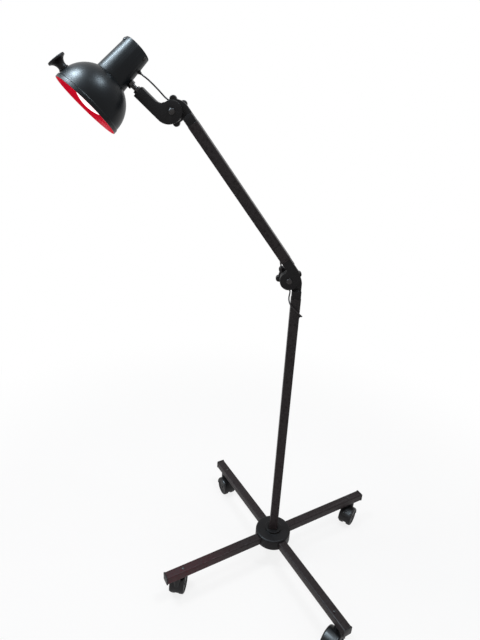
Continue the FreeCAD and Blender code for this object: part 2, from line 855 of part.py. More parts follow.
def casterPins(number, swivel, position, rotation):
    # swivel stem with its thrust washer, and the wheels' axle
    x, y, _ = swivel
    stem = newBody("casterStem%d" % number, (x, y, d.swivelTop))
    profile = sketchOn(stem, "XZ_Plane")
    tip = d.washerThick + d.stemRise
    outline(profile, [
        (0, -d.stemSink), (d.stemRadius, -d.stemSink), (d.stemRadius, 0), (d.swivelRadius, 0),
        (d.swivelRadius, d.washerThick), (d.stemRadius, d.washerThick),
        (d.stemRadius, tip - 1), (d.stemRadius - 1, tip), (0, tip)])
    revolve(stem, profile)
    axle = newBody("casterAxle%d" % number, position, rotation)
    section = sketchOn(axle, "XZ_Plane")
    circle(section, 0, 0, d.axleRadius)
    pad(axle, section, 2 * (wheelEnd - d.wheelDish - 1), middle=True)
    return group("caster_%d_pins" % number, [stem, axle])


def casterWheel(label, position, rotation):
    body = newBody(label, position, rotation)
    profile = sketchOn(body, "YZ_Plane")
    bore = d.axleRadius + d.runFit
    tread = d.wheelRadius
    shoulder = d.wheelShoulder
    dish = wheelEnd - d.wheelDish
    blind = dish - 0.7
    outline(profile, [
        (wheelStart, bore), (wheelStart, tread - 1), (wheelStart + 1, tread, 1, -1),
        (wheelEnd - shoulder, tread), (wheelEnd, tread - shoulder, shoulder, -1),
        (wheelEnd, tread - 1.6 * shoulder), (dish, tread - 2 * shoulder), (dish, 2 * d.axleRadius),
        (wheelEnd, 1.6 * d.axleRadius), (wheelEnd, 0), (blind, 0), (blind, bore)])
    revolve(body, profile, "H_Axis")
    return keep(body, label)


def caster(index):
    number = index + 1
    angle = casterAngles[index]
    swivel = onLeg(index, stemReach, 0)
    axle = (swivel[0] + d.trail * cosine(asSize(angle)),
            swivel[1] + d.trail * sine(asSize(angle)), d.wheelRadius)
    casterHood(number, axle, spin(alongZ, angle))
    casterPins(number, swivel, axle, spin(alongZ, angle))
    casterWheel("caster_%d_wheel_left" % number, axle, spin(alongZ, angle))
    casterWheel("caster_%d_wheel_right" % number, axle, spin(alongZ, angle + 180))


# Swing arm


def armTube():
    body = newBody("arm_tube", elbowAt, armTurn)
    section = sketchOn(body, "XY_Plane", d.shoulder)
    roundedRect(section, d.tubeSide, d.tubeSide, d.tubeCorner, d.knuckleOffset)
    roundedRect(section, tubeInside, tubeInside, insideCorner, d.knuckleOffset)
    pad(body, section, d.armSpan - 2 * d.shoulder)
    rear = sketchOn(body, "XZ_Plane")
    port = d.leadRadius + d.leadFit + d.portNeck
    hole = d.smallScrewRadius + d.screwFit
    down = d.shoulder + d.bracketScrewDown
    circle(rear, d.knuckleOffset, d.leadPortElbow, port)
    circle(rear, d.knuckleOffset, d.armSpan - d.leadPortWrist, port)
    circle(rear, d.knuckleOffset, down, hole)
    circle(rear, d.knuckleOffset, d.armSpan - down, hole)
    pocket(body, rear, d.tubeSide)
    return keep(body, "arm_tube")


def arm():
    armTube()
    tubeBracket("elbow_bracket_arm", elbowAt, elbowTurn)
    tubeBracket("wrist_bracket_arm", wristAt, armTurn)
    pivotBolt("elbow_bolt", elbowAt)
    frictionWasher("wrist_friction_washer", wristAt)
    down = d.shoulder + d.bracketScrewDown
    group("bracket_screws", [
        screw("lowerScrew", onArm(down, d.knuckleOffset, tubeHalf), rearward, d.smallScrewLength),
        screw("upperScrew", onArm(d.armSpan - down, d.knuckleOffset, tubeHalf), rearward,
              d.smallScrewLength)])
    bore = d.leadRadius + d.leadFit
    low = onArm(d.leadPortElbow, d.knuckleOffset, tubeHalf)
    high = onArm(d.armSpan - d.leadPortWrist, d.knuckleOffset, tubeHalf)
    group("arm_grommets", [
        grommet("lowBush", low, rearward, bore, d.grommetLip),
        grommet("highBush", high, rearward, bore, d.grommetLip)])


# Wrist link, drawn with its pivot at the origin and its bar going down


def wristLink():
    body = newBody("wrist_link", wristAt, linkTurn)
    knuckleForm(body, d.linkWidth, d.linkLength, d.linkFillet, -1)
    socket = sketchOn(body, "XY_Plane", -d.linkLength)
    circle(socket, d.knuckleOffset, 0, d.nippleRadius + d.runFit)
    pocket(body, socket, d.nippleSocket + 0.5, reverse=True)
    return keep(body, "wrist_link")


def leadClip():
    # keeper under the knob: a ring on the bolt, an arm, and a saddle that holds the lead
    body = newBody("lead_clip", clipAt, clipTurned)
    wall = d.leadRadius + d.leadFit + d.clipWall
    ring = sketchOn(body, "XZ_Plane", d.clipRise - d.clipPlate)
    circle(ring, d.clipReach, 0, d.clipRing)
    pad(body, ring, d.clipPlate)
    reach = sketchOn(body, "XZ_Plane", d.clipRise - d.clipPlate)
    half = d.clipLength / 2
    outline(reach, [
        (-wall, -half), (d.clipReach, -half), (d.clipReach, half), (-wall, half)])
    pad(body, reach, d.clipPlate)
    section = sketchOn(body, "XY_Plane")
    outline(section, [
        (-wall, -d.clipRise), (wall, -d.clipRise), (wall, 0), (0, wall, wall, 1), (-wall, 0, wall, 1)])
    pad(body, section, d.clipLength, middle=True)
    way = sketchOn(body, "XY_Plane")
    circle(way, 0, 0, d.leadRadius + d.leadFit)
    pocket(body, way, 2 * d.clipLength, middle=True)
    bore = sketchOn(body, "XZ_Plane")
    circle(bore, d.clipReach, 0, d.pivotRadius + d.screwFit)
    pocket(body, bore, 4 * d.clipRise, middle=True)
    return keep(body, "lead_clip")


# Head, drawn round its own axis with the nipple along +X and the rim below


def headBody(name):
    return newBody(name, headAt, headTurn)


def headNipple():
    body = newBody("head_nipple", headAt, headTurn.multiply(spin(alongY, 90)))
    ring = sketchOn(body, "XY_Plane", nippleStart)
    circle(ring, 0, 0, d.nippleRadius)
    circle(ring, 0, 0, d.nippleBore)
    pad(body, ring, d.headReach - d.linkLength + d.nippleSocket - nippleStart)
    return keep(body, "head_nipple")


def nippleNuts():
    starts = [nutInside - d.nutThick, canRadius(-nutCorner),
              d.headReach - d.linkLength - d.nutThick]
    nuts = []
    for index, start in enumerate(starts):
        hexagon = doc.addObject("Part::Prism", "nutHexagon%d" % index)
        hexagon.Polygon = 6
        bind(hexagon, "Circumradius", nutCorner)
        bind(hexagon, "Height", d.nutThick)
        hole = doc.addObject("Part::Cylinder", "nutHole%d" % index)
        bind(hole, "Radius", d.nippleRadius + d.screwFit)
        bind(hole, "Height", d.nutThick)
        nut = doc.addObject("Part::Cut", "nut%d" % index)
        nut.Base = hexagon
        nut.Tool = hole
        place(nut, onHead(start, 0, 0), headTurn.multiply(spin(alongY, 90)))
        nuts.append(nut)
    return group("nipple_nuts", nuts)


def canShell():
    body = headBody("can_shell")
    profile = sketchOn(body, "XZ_Plane")
    outline(profile, [
        (d.canRadiusLow - d.canWall, d.canBottom), (d.canRadiusLow, d.canBottom),
        (d.canRadiusHigh, canTop), (d.canRadiusHigh - d.canWall, canTop)])
    revolve(body, profile)
    side = sketchOn(body, "YZ_Plane")
    circle(side, 0, 0, d.nippleRadius + d.screwFit)
    circle(side, 0, d.glandUp, d.glandNeck + d.screwFit)
    pocket(body, side, d.canRadiusLow + d.canWall, reverse=True)
    fixing = sketchOn(body, "XZ_Plane")
    circle(fixing, 0, canTop - d.capBand / 2, d.smallScrewRadius + d.screwFit)
    hole = pocket(body, fixing, d.canRadiusLow + d.canWall)
    polar(body, hole, "Z", d.capScrews)
    return keep(body, "can_shell")


def canCap():
    # disc on the can's end with a band that plugs it
    body = headBody("can_cap")
    band = canTop - d.capBand
    plug = d.canRadiusHigh - d.canWall - d.slipFit
    top = canTop + d.capWall
    profile = sketchOn(body, "XZ_Plane")
    outline(profile, [
        (0, canTop), (plug - d.capWall, canTop), (plug - d.capWall, band), (plug, band),
        (plug, canTop), (d.canRadiusHigh, canTop), (d.canRadiusHigh, top - d.capEdge),
        (d.canRadiusHigh - d.capEdge, top, d.capEdge, 1), (0, top)])
    revolve(body, profile)
    slot = sketchOn(body, "XY_Plane", top)
    roundedRect(slot, d.ventLength, d.ventWidth, d.ventWidth / 2 - 0.1, d.ventCircle)
    polar(body, pocket(body, slot, 2 * d.capWall), "Z", d.ventCount)
    fixing = sketchOn(body, "XZ_Plane")
    circle(fixing, 0, canTop - d.capBand / 2, d.smallScrewRadius + d.screwFit)
    polar(body, pocket(body, fixing, d.canRadiusLow + d.canWall), "Z", d.capScrews)
    return keep(body, "can_cap")


def capScrews():
    height = canTop - d.capBand / 2
    reach = canRadius(height) + d.smallHeadRadius * canTaper
    screws = []
    for index in range(int(d.capScrews.value)):
        angle = 90 + 360 * index / d.capScrews
        position = onHead(reach * cosine(angle), reach * sine(angle), height)
        turned = headTurn.multiply(spin(alongZ, angle.value)).multiply(spin(alongY, 90))
        screws.append(screw("capScrew%d" % index, position, turned, 2 * (d.canWall + d.capWall),
                            d.smallHeadRadius, d.smallHeadRise))
    return group("cap_screws", screws)


def domeReflector():
    body = headBody("dome_reflector")
    wall = d.domeWall
    neck = d.canRadiusLow - d.canWall - d.neckGap
    lipTop = domeCentre - d.lipStep
    outer = sketchOn(body, "XZ_Plane")
    outline(outer, [
        (0, rimHeight), (d.lipRadius - wall / 2, rimHeight),
        (d.lipRadius, rimHeight + wall / 2, wall / 2, 1), (d.lipRadius, lipTop),
        (d.domeRadius, lipTop + d.lipRadius - d.domeRadius), (d.domeRadius, domeCentre),
        (d.canRadiusLow, d.canBottom, d.domeRadius, 1), (neck, d.canBottom),
        (neck, d.canBottom + d.domeNeck), (0, d.canBottom + d.domeNeck)])
    revolve(body, outer)
    within = d.domeRadius - wall
    throat = neck - wall
    apex = domeCentre + root(within * within - throat * throat)
    inner = sketchOn(body, "XZ_Plane")
    outline(inner, [
        (0, rimHeight), (d.lipRadius - wall, rimHeight), (d.lipRadius - wall, lipTop),
        (within, lipTop + d.lipRadius - d.domeRadius), (within, domeCentre),
        (throat, apex, within, 1), (throat, d.canBottom + d.domeNeck),
        (0, d.canBottom + d.domeNeck)])
    groove(body, inner)
    return keep(body, "dome_reflector")


def lampholder():
    body = headBody("lampholder_body")
    profile = sketchOn(body, "XZ_Plane")
    bore = d.bulbCapRadius + d.capFit + d.shellWall + d.slipFit
    bottom = holderTop - d.holderLength
    step = holderTop - d.holderFloor
    outline(profile, [
        (bore, bottom), (d.holderRadius, bottom), (d.holderRadius, step),
        (d.holderRadius - 3, holderTop), (3, holderTop), (3, step + d.slipFit),
        (bore, step + d.slipFit)])
    revolve(body, profile)
    keep(body, "lampholder_body")
    shell = headBody("holder_shell")
    section = sketchOn(shell, "XZ_Plane")
    within = d.bulbCapRadius + d.capFit
    outline(section, [
        (within, step - d.shellDepth), (within + d.shellWall, step - d.shellDepth),
        (within + d.shellWall, step + d.slipFit), (within - 4, step + d.slipFit),
        (within - 4, step + d.slipFit - d.shellWall), (within, step + d.slipFit - d.shellWall)])
    revolve(shell, section)
    return keep(shell, "holder_shell")


def holderBracket():
    # inverted U strap from wall to wall of the can, over the lampholder
    body = headBody("holder_bracket")
    thick = d.strapThick
    top = holderTop + thick
    within = canRadius(top) - d.canWall
    reach = root(within * within - d.strapWidth * d.strapWidth / 4) - d.slipFit
    tab = holderTop - d.strapTab
    profile = sketchOn(body, "YZ_Plane")
    outline(profile, [
        (-reach, tab), (-reach + thick, tab), (-reach + thick, holderTop), (reach - thick, holderTop),
        (reach - thick, tab), (reach, tab), (reach, top - thick), (reach - thick, top, thick, 1),
        (-reach + thick, top), (-reach, top - thick, thick, 1)])
    pad(body, profile, d.strapWidth, middle=True)
    return keep(body, "holder_bracket")


def bulbOutline(wall):
    # half of the bulb's glass, front first; wall moves it inwards
    wide = d.bulbRadius - wall
    face = bulbFace + wall
    edge = wide - d.bulbShoulder / 2
    rise = face + d.bulbCrown - root(d.bulbCrown * d.bulbCrown - edge * edge)
    return [
        (0, face), (edge, rise, d.bulbCrown, 1),
        (wide, rise + d.bulbShoulder, d.bulbShoulder, 1), (wide, bulbFace + d.bulbBelly),
        (d.bulbNeck + d.bulbFlare - wall, bulbFace + d.bulbFlank, 2 * d.bulbRadius, 1),
        (d.bulbNeck - wall, bulbFace + d.bulbSweep, d.bulbRadius, -1),
        (d.bulbNeck - d.bulbNip - wall, glassBack), (0, glassBack)]


def bulb():
    body = headBody("bulb_glass")
    outer = sketchOn(body, "XZ_Plane")
    outline(outer, bulbOutline(asSize(0)))
    revolve(body, outer)
    inner = sketchOn(body, "XZ_Plane")
    outline(inner, bulbOutline(d.bulbWall))
    groove(body, inner)
    keep(body, "bulb_glass")
    cap = headBody("bulb_cap")
    radius = d.bulbCapRadius
    profile = sketchOn(cap, "XZ_Plane")
    outline(profile, [
        (0, glassBack), (radius, glassBack), (radius, bulbBack - 7), (radius / 2, bulbBack - 3),
        (radius / 3, bulbBack), (0, bulbBack)])
    revolve(cap, profile)
    return keep(cap, "bulb_cap")


def handleKnob():
    # spool that stands on the dome, its foot hollowed to the dome's sphere
    turned = headTurn.multiply(spin(alongZ, d.handleAngle.value))
    turned = turned.multiply(spin(alongY, 90 - d.handleTilt.value))
    body = newBody("handle_knob", onHead(0, 0, domeCentre), turned)
    seat = d.domeRadius + d.handleSeat
    foot = d.handleFoot
    edge = root(seat * seat - foot * foot)
    end = d.domeRadius + d.handleLength
    rim = end - d.handleRim
    rise = d.handleFootRise
    soft = d.handleRound
    waist = (edge + rise + rim) / 2
    profile = sketchOn(body, "XZ_Plane")
    outline(profile, [
        (0, seat), (foot, edge, seat, -1), (foot, edge + rise - soft),
        (foot - soft, edge + rise, soft, 1), (d.handleWaist, waist, d.handleSweep, -1),
        (d.handleTip - soft, rim, d.handleSweep, -1), (d.handleTip, rim + soft, soft, 1),
        (d.handleTip, end - soft), (d.handleTip - soft, end, soft, 1), (0, end)])
    revolve(body, profile)
    return keep(body, "handle_knob")


def leadGland():
    body = newBody("lead_gland", glandAt, glandTurn)
    profile = sketchOn(body, "XZ_Plane")
    bore = d.leadRadius + d.leadFit
    inside = -(d.canWall + d.glandInside)
    outline(profile, [
        (bore, inside), (d.glandNeck, inside), (d.glandNeck, 0), (d.glandRadius, 0),
        (d.glandRadius, d.glandFlange), (d.glandNeck, d.glandFlange + d.glandStep),
        (bore + d.glandNose, d.glandRise), (bore, d.glandRise)])
    revolve(body, profile)
    return keep(body, "lead_gland")


def head():
    headNipple()
    nippleNuts()
    canShell()
    canCap()
    capScrews()
    domeReflector()
    lampholder()
    holderBracket()
    bulb()
    handleKnob()
    leadGland()


# Leads: straight runs joined by tangent arcs


def leadPath(points):
    # returns the wire and the radius of each bend
    edges = []
    radii = []
    start = points[0]
    for before, corner, after in zip(points, points[1:], points[2:]):
        inward = corner.sub(before)
        outward = after.sub(corner)
        half = inward.getAngle(outward) / 2
        run = 0.45 * min(inward.Length, outward.Length)
        inward.normalize()
        outward.normalize()
        first = corner.sub(inward * run)
        last = corner.add(outward * run)
        radius = run / math.tan(half)
        bisector = outward.sub(inward).normalize()
        middle = corner.add(bisector * (radius / math.cos(half) - radius))
        edges.append(Part.LineSegment(start, first).toShape())
        edges.append(Part.Arc(first, middle, last).toShape())
        radii.append(radius)
        start = last
    edges.append(Part.LineSegment(start, points[-1]).toShape())
    return Part.Wire(edges), radii


def lead(label, points):
    path, radii = leadPath(points)
    direction = points[1].sub(points[0])
    section = Part.Wire([Part.makeCircle(d.leadRadius.value, points[0], direction)])
    tube = path.makePipeShell([section], True, False)
    if tube.Volume < 0:
        tube.reverse()
    item = doc.addObject("Part::Feature", label)
    item.Shape = tube
    item.Placement = FreeCAD.Placement()
    expected = math.pi * d.leadRadius.value ** 2 * path.Length
    print("%s: length %.1f, volume %.1f against %.1f, radii %s" % (
        label, path.Length, tube.Volume, expected, " ".join("%.1f" % radius for radius in radii)))
    return keep(item, label)


def fixed(position):
    return vec(*[asSize(part).value for part in position])


def near(anchor, offsets):
    return [fixed(anchor).add(vec(*offset)) for offset in offsets]


clipTurned = spin(alongY, 90 + d.clipTurn.value)
clipAt = (wristX + d.clipReach * sine(d.clipTurn), d.postY + d.knuckleThick / 2 + d.clipRise,
          wristZ + d.clipReach * cosine(d.clipTurn))
nutCorner = d.nutAcross / 2 / cosine(asSize(30))
canInside = canRadius(nutCorner) - d.canWall
nutInside = root(canInside * canInside - nutCorner * nutCorner)
nippleStart = nutInside - d.nutThick - 1
glandTurn = headTurn.multiply(spin(alongY, 90 - math.degrees(math.atan(canTaper.value))))
glandAt = onHead(canRadius(d.glandUp), 0, d.glandUp)


def upperLead():
    axis = glandTurn.multVec(alongZ)
    exit = fixed(glandAt)
    rise = d.glandRise.value
    way = clipTurned.multVec(alongZ)
    held = fixed(clipAt)
    points = [exit.add(axis * (rise - 3)), exit.add(axis * (rise + 6))]
    points += near(wristAt, [(-56, 11, 62), (-34, 14.5, 42.5), (-13.5, 16.2, 21)])
    points += [held.sub(way * 7), held]
    return lead("head_lead_upper", points)


def lowerLead():
    port = fixed(onArm(d.armSpan - d.leadPortWrist, d.knuckleOffset, tubeHalf))
    way = clipTurned.multVec(alongZ)
    held = fixed(clipAt)
    points = [held, held.add(way * 8)]
    points += near(wristAt, [(30, 17.5, -3), (43, 18.5, -21)])
    points += [port.add(vec(-7, 8.5, 10)), port.add(vec(0, 7, 0)), port.sub(vec(0, 1, 0))]
    return lead("head_lead_lower", points)


def elbowLead():
    port = fixed(onArm(d.leadPortElbow, d.knuckleOffset, tubeHalf))
    hole = fixed((d.postX + tubeHalf, d.postY - d.leadAside, elbowZ - d.leadHoleBelow))
    points = [port.sub(vec(0, 1, 0)), port.add(vec(0, 7, 0))]
    points += near(elbowAt, [
        (-26, 18.5, 55), (-24, 17.8, 40), (-21, 17.2, 26), (-18.5, 17, 10), (-16.5, 17, -4),
        (-9.5, 17, -17), (2, 17, -26), (7, 14.5, -36), (4, 5, -45), (3.8, -6, -52),
        (8, -15.5, -60), (18, -17, -70), (29, -16.8, -80)])
    points += [hole.add(vec(4, -11, 5.5)), hole.add(vec(6.5, -4.5, 2)), hole.add(vec(4, 0, 0)),
               hole.sub(vec(1, 0, 0))]
    return lead("elbow_lead", points)


# Whole lamp


base()
for index in legNumbers:
    caster(index)
arm()
wristLink()
pivotBolt("wrist_bolt", wristAt)
leadClip()
head()
starKnob("elbow_star_knob", elbowAt, d.elbowKnobTurn, d.knobGap)
starKnob("wrist_star_knob", wristAt, d.wristKnobTurn, d.clipPlate + d.knobGap)
upperLead()
lowerLead()
elbowLead()

doc.recompute()
for item in doc.Objects:
    if "Invalid" in item.State or "Error" in item.State:
        raise RuntimeError("%s did not compute: %s" % (item.Name, item.State))
for item in pieces:
    if item.Shape.isNull() or not item.Shape.isValid() or item.Shape.Volume <= 0:
        raise RuntimeError("%s has no valid shape" % item.Label)

os.makedirs("parts", exist_ok=True)
for item in pieces:
    item.Shape.exportStep("parts/%s.step" % item.Label)
print("%d pieces written" % len(pieces))
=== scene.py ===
import json
import math

import bmesh
import bpy
import numpy as np
from mathutils import Matrix, Vector


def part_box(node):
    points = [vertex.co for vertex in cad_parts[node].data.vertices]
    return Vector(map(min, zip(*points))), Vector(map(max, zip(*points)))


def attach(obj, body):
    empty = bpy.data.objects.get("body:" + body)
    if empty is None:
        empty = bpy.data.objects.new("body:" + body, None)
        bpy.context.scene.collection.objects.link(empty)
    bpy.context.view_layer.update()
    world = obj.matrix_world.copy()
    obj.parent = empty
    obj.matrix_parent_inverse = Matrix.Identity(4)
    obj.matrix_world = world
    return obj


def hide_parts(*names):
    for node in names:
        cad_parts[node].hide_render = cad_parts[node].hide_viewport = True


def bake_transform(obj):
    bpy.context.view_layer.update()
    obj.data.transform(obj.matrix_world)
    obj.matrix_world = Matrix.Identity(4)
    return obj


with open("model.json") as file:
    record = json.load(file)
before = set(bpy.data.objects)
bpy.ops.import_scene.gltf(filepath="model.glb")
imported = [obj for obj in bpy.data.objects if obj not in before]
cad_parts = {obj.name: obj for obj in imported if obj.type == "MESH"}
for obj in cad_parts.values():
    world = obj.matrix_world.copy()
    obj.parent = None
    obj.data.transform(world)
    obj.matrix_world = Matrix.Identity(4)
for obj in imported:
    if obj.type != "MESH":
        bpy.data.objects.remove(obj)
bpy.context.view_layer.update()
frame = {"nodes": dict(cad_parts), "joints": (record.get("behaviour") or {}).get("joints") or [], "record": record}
nodes = frame["nodes"]
joints = {joint["name"]: joint for joint in frame["joints"]}
bodies = frame["record"]["behaviour"]["bodies"]
bodyOf = {node: body for body, members in bodies.items() for node in members}
slotOf = {row["node"]: row["material_slot"] for row in frame["record"]["subparts"]}
scene = bpy.context.scene
scene.view_settings.view_transform = "Standard"
mm = 0.001
rearward = Vector((0, 1, 0))
elbowAt = Vector(joints["elbow_hinge"]["pos_m"])
wristAt = Vector(joints["wrist_hinge"]["pos_m"])
headAt = Vector(joints["head_swivel"]["pos_m"])
linkAxis = Vector(joints["head_swivel"]["axis"]).normalized()
print("frame loaded,", len(nodes), "nodes")


def linked(name, data):
    item = bpy.data.objects.new(name, data)
    scene.collection.objects.link(item)
    return item


# camera: in front of the lamp at head height, looking down on it
cameraView = {
    "place": (0.0218, -1.1524, 1.3403),
    "yaw": 91.91,           # degrees from +X, turning left
    "pitch": -24.27,
    "roll": 2.88,
    "focal": 495.78,        # in pixels of a picture this high
    "height": 640,
    "sensor": 36.0,
}


def makeCamera():
    yaw, pitch, roll = [math.radians(cameraView[name]) for name in ("yaw", "pitch", "roll")]
    flat = math.cos(pitch)
    ahead = Vector((flat * math.cos(yaw), flat * math.sin(yaw), math.sin(pitch)))
    level = ahead.cross(Vector((0, 0, 1))).normalized()
    above = level.cross(ahead)
    right = level * math.cos(roll) + above * math.sin(roll)
    up = above * math.cos(roll) - level * math.sin(roll)
    lens = bpy.data.cameras.new("camera")
    lens.sensor_width = cameraView["sensor"]
    lens.lens = cameraView["focal"] * cameraView["sensor"] / cameraView["height"]
    lens.dof.use_dof = False
    axes = Matrix((right, up, -ahead)).transposed().to_4x4()
    camera = linked("camera", lens)
    camera.matrix_world = Matrix.Translation(cameraView["place"]) @ axes
    scene.camera = camera


makeCamera()
print("camera set")


# node trees: maths on wrapped sockets reads as an expression
class Wire:
    def __init__(self, tree, socket):
        self.tree = tree
        self.socket = socket

    def __add__(self, other):
        return self.tree.maths("ADD", self, other)

    def __radd__(self, other):
        return self.tree.maths("ADD", other, self)

    def __sub__(self, other):
        return self.tree.maths("SUBTRACT", self, other)

    def __rsub__(self, other):
        return self.tree.maths("SUBTRACT", other, self)

    def __mul__(self, other):
        return self.tree.maths("MULTIPLY", self, other)

    def __rmul__(self, other):
        return self.tree.maths("MULTIPLY", other, self)

    def __truediv__(self, other):
        return self.tree.maths("DIVIDE", self, other)

    def __rtruediv__(self, other):
        return self.tree.maths("DIVIDE", other, self)

    def __gt__(self, other):
        return self.tree.maths("GREATER_THAN", self, other)


class NodeTree:
    def __init__(self, tree):
        self.tree = tree

    def make(self, kind, settings, values, output=0):
        # settings are set before values, and output picks the socket that comes back
        node = self.tree.nodes.new(kind)
        for name, value in settings.items():
            setattr(node, name, value)
        for name, value in values.items():
            if isinstance(value, Wire):
                self.tree.links.new(value.socket, node.inputs[name])
            else:
                node.inputs[name].default_value = value
        if output is None:
            return node
        return Wire(self, node.outputs[output])

    def maths(self, operation, *values):
        return self.make("ShaderNodeMath", {"operation": operation}, dict(enumerate(values)))

    def vectorMaths(self, operation, *values, output="Vector"):
        return self.make("ShaderNodeVectorMath", {"operation": operation},
                         dict(enumerate(values)), output)

    def split(self, vector):
        node = self.make("ShaderNodeSeparateXYZ", {}, {0: vector}, None)
        return [Wire(self, socket) for socket in node.outputs]

    def vectorOf(self, x, y, z):
        return self.make("ShaderNodeCombineXYZ", {}, {"X": x, "Y": y, "Z": z})


class Finish(NodeTree):
    # a material and the patterns that finishes share
    inputs = {
        "base": "Base Color", "roughness": "Roughness", "metallic": "Metallic",
        "specular": "Specular IOR Level", "coat": "Coat Weight", "normal": "Normal",
        "glow": "Emission Color", "glowStrength": "Emission Strength",
    }

    def __init__(self, name):
        self.material = bpy.data.materials.new(name)
        self.material.use_nodes = True
        NodeTree.__init__(self, self.material.node_tree)
        self.tree.nodes.clear()
        self.place = self.make("ShaderNodeTexCoord", {}, {}, "Object")

    def noise(self, scale, detail, stretch=(1.0, 1.0, 1.0)):
        vector = self.make("ShaderNodeMapping", {}, {"Vector": self.place, "Scale": stretch})
        return self.make("ShaderNodeTexNoise", {}, {
            "Vector": vector, "Scale": scale, "Detail": detail})

    def between(self, mask, low, high, start=0.0, end=1.0):
        return self.make("ShaderNodeMapRange", {"interpolation_type": "SMOOTHSTEP"}, {
            "Value": mask, "From Min": low, "From Max": high, "To Min": start, "To Max": end})

    def patches(self, scale, detail, low, high, stretch=(1.0, 1.0, 1.0)):
        return self.between(self.noise(scale, detail, stretch), low, high)

    def wornEdges(self, scale, detail, low, high):
        # rub says how sharp the edge is at a point, and is kept on each piece when it is made
        rub = self.make("ShaderNodeAttribute", {"attribute_name": "rub"}, {}, "Fac")
        return self.between(rub * self.noise(scale, detail), low, high)

    def facingUp(self):
        return self.split(self.make("ShaderNodeNewGeometry", {}, {}, "Normal"))[2]

    def height(self):
        return self.split(self.place)[2]

    def tint(self, mask, first, second):
        colours = [value if isinstance(value, Wire) else (*value, 1.0) for value in (first, second)]
        return self.make("ShaderNodeMix", {"data_type": "RGBA"}, {
            0: mask, 6: colours[0], 7: colours[1]}, 2)

    def bump(self, height, strength, distance):
        return self.make("ShaderNodeBump", {}, {
            "Height": height, "Strength": strength, "Distance": distance})

    def surface(self, **values):
        shader = self.make("ShaderNodeBsdfPrincipled", {}, {
            self.inputs[key]: value for key, value in values.items()})
        self.make("ShaderNodeOutputMaterial", {}, {"Surface": shader}, None)
        return self.material


# finishes: a pattern is its noise scale and detail, then where a patch begins and is full, then
# its stretch; a bump is its strength and distance, and a Rough is what a pattern adds to roughness

enamel = {
    "paint": (0.0050, 0.0036, 0.0040), "faded": (0.0086, 0.0052, 0.0058),
    "bare": (0.04, 0.034, 0.034), "dusty": (0.022, 0.018, 0.018),
    "drift": (9.0, 4.0), "fades": (0.35, 0.7), "peel": (420.0, 2.0),
    "scuffs": (60.0, 5.0, 0.62, 0.8, (1.0, 1.0, 0.18)),
    "edges": (150.0, 3.0, 0.22, 0.5), "bareShare": 0.45,
    "dust": (26.0, 5.0, 0.35, 0.75), "dustLies": (0.55, 1.0), "dustShare": 0.3,
    # painted red lamp light on the end of one leg, uneven
    "paintedLampRed": (0.066, 0.0075, 0.013), "lampRedAt": (-0.185, -0.185, 0.0875),
    "lampRedReach": (0.27, 0.06), "lampRedShare": 0.45, "lampRedDrift": 0.55,
    # painted red lamp light, stronger towards the bottom
    "paintedRedBelow": (0.0125, 0.0050, 0.0064), "redBelowHeight": (0.95, 0.1), "redBelowShare": 0.7,
    "roughness": 0.36, "driftRough": 0.1, "scuffRough": 0.14, "dustRough": 0.16,
    "specular": 0.12, "scuffBump": 0.6, "bump": (0.1, 0.0003),
}


def tubeEnamel():
    # satin stove enamel with faint orange peel, rubbed edges, thin dust, and the lamp's red light painted on: a
    # red patch at one leg's end and a red tint lower down
    make = Finish("tubeEnamel")
    drift = make.noise(*enamel["drift"])
    scuffs = make.patches(*enamel["scuffs"])
    edge = make.wornEdges(*enamel["edges"])
    dust = make.between(make.facingUp(), *enamel["dustLies"]) * make.patches(*enamel["dust"])
    # painted red light of the lamp's beam on the end of one leg, its strength varied by the drift
    fromLeg = make.vectorMaths("DISTANCE", make.place, enamel["lampRedAt"], output="Value")
    uneven = enamel["lampRedShare"] + enamel["lampRedDrift"] * drift
    lampRedOnLeg = make.between(fromLeg, *enamel["lampRedReach"]) * uneven
    # painted red lamp light, redder from the post's top down to the floor
    paintedRedBelow = make.between(make.height(), *enamel["redBelowHeight"]) * enamel["redBelowShare"]
    colour = make.tint(make.between(drift, *enamel["fades"]), enamel["paint"], enamel["faded"])
    colour = make.tint(paintedRedBelow, colour, enamel["paintedRedBelow"])
    colour = make.tint(lampRedOnLeg, colour, enamel["paintedLampRed"])
    colour = make.tint(edge * enamel["bareShare"], colour, enamel["bare"])
    colour = make.tint(dust * enamel["dustShare"], colour, enamel["dusty"])
    rough = enamel["roughness"] + enamel["driftRough"] * (drift - 0.5)
    rough = rough + enamel["scuffRough"] * scuffs + enamel["dustRough"] * dust
    relief = make.noise(*enamel["peel"]) + enamel["scuffBump"] * scuffs
    return make.surface(base=colour, roughness=rough, specular=enamel["specular"],
                        normal=make.bump(relief, *enamel["bump"]))


shade = {
    "paint": (0.0026, 0.0036, 0.0048), "faded": (0.0044, 0.0058, 0.0076),
    "bare": (0.04, 0.04, 0.044), "drift": (14.0, 4.0), "fades": (0.35, 0.7), "peel": (240.0, 2.0),
    "smears": (38.0, 5.0, 0.55, 0.8), "edges": (130.0, 3.0, 0.25, 0.55), "bareShare": 0.4,
    "roughness": 0.36, "driftRough": 0.08, "smearRough": 0.08, "specular": 0.15,
    "bump": (0.007, 0.0003),
}


def shadeEnamel():
    # smoother blue-black enamel of the head's spun sheet
    make = Finish("shadeEnamel")
    drift = make.noise(*shade["drift"])
    edge = make.wornEdges(*shade["edges"])
    colour = make.tint(make.between(drift, *shade["fades"]), shade["paint"], shade["faded"])
    colour = make.tint(edge * shade["bareShare"], colour, shade["bare"])
    rough = shade["roughness"] + shade["driftRough"] * (drift - 0.5)
    rough = rough + shade["smearRough"] * make.patches(*shade["smears"])
    return make.surface(base=colour, roughness=rough, specular=shade["specular"],
                        normal=make.bump(make.noise(*shade["peel"]), *shade["bump"]))


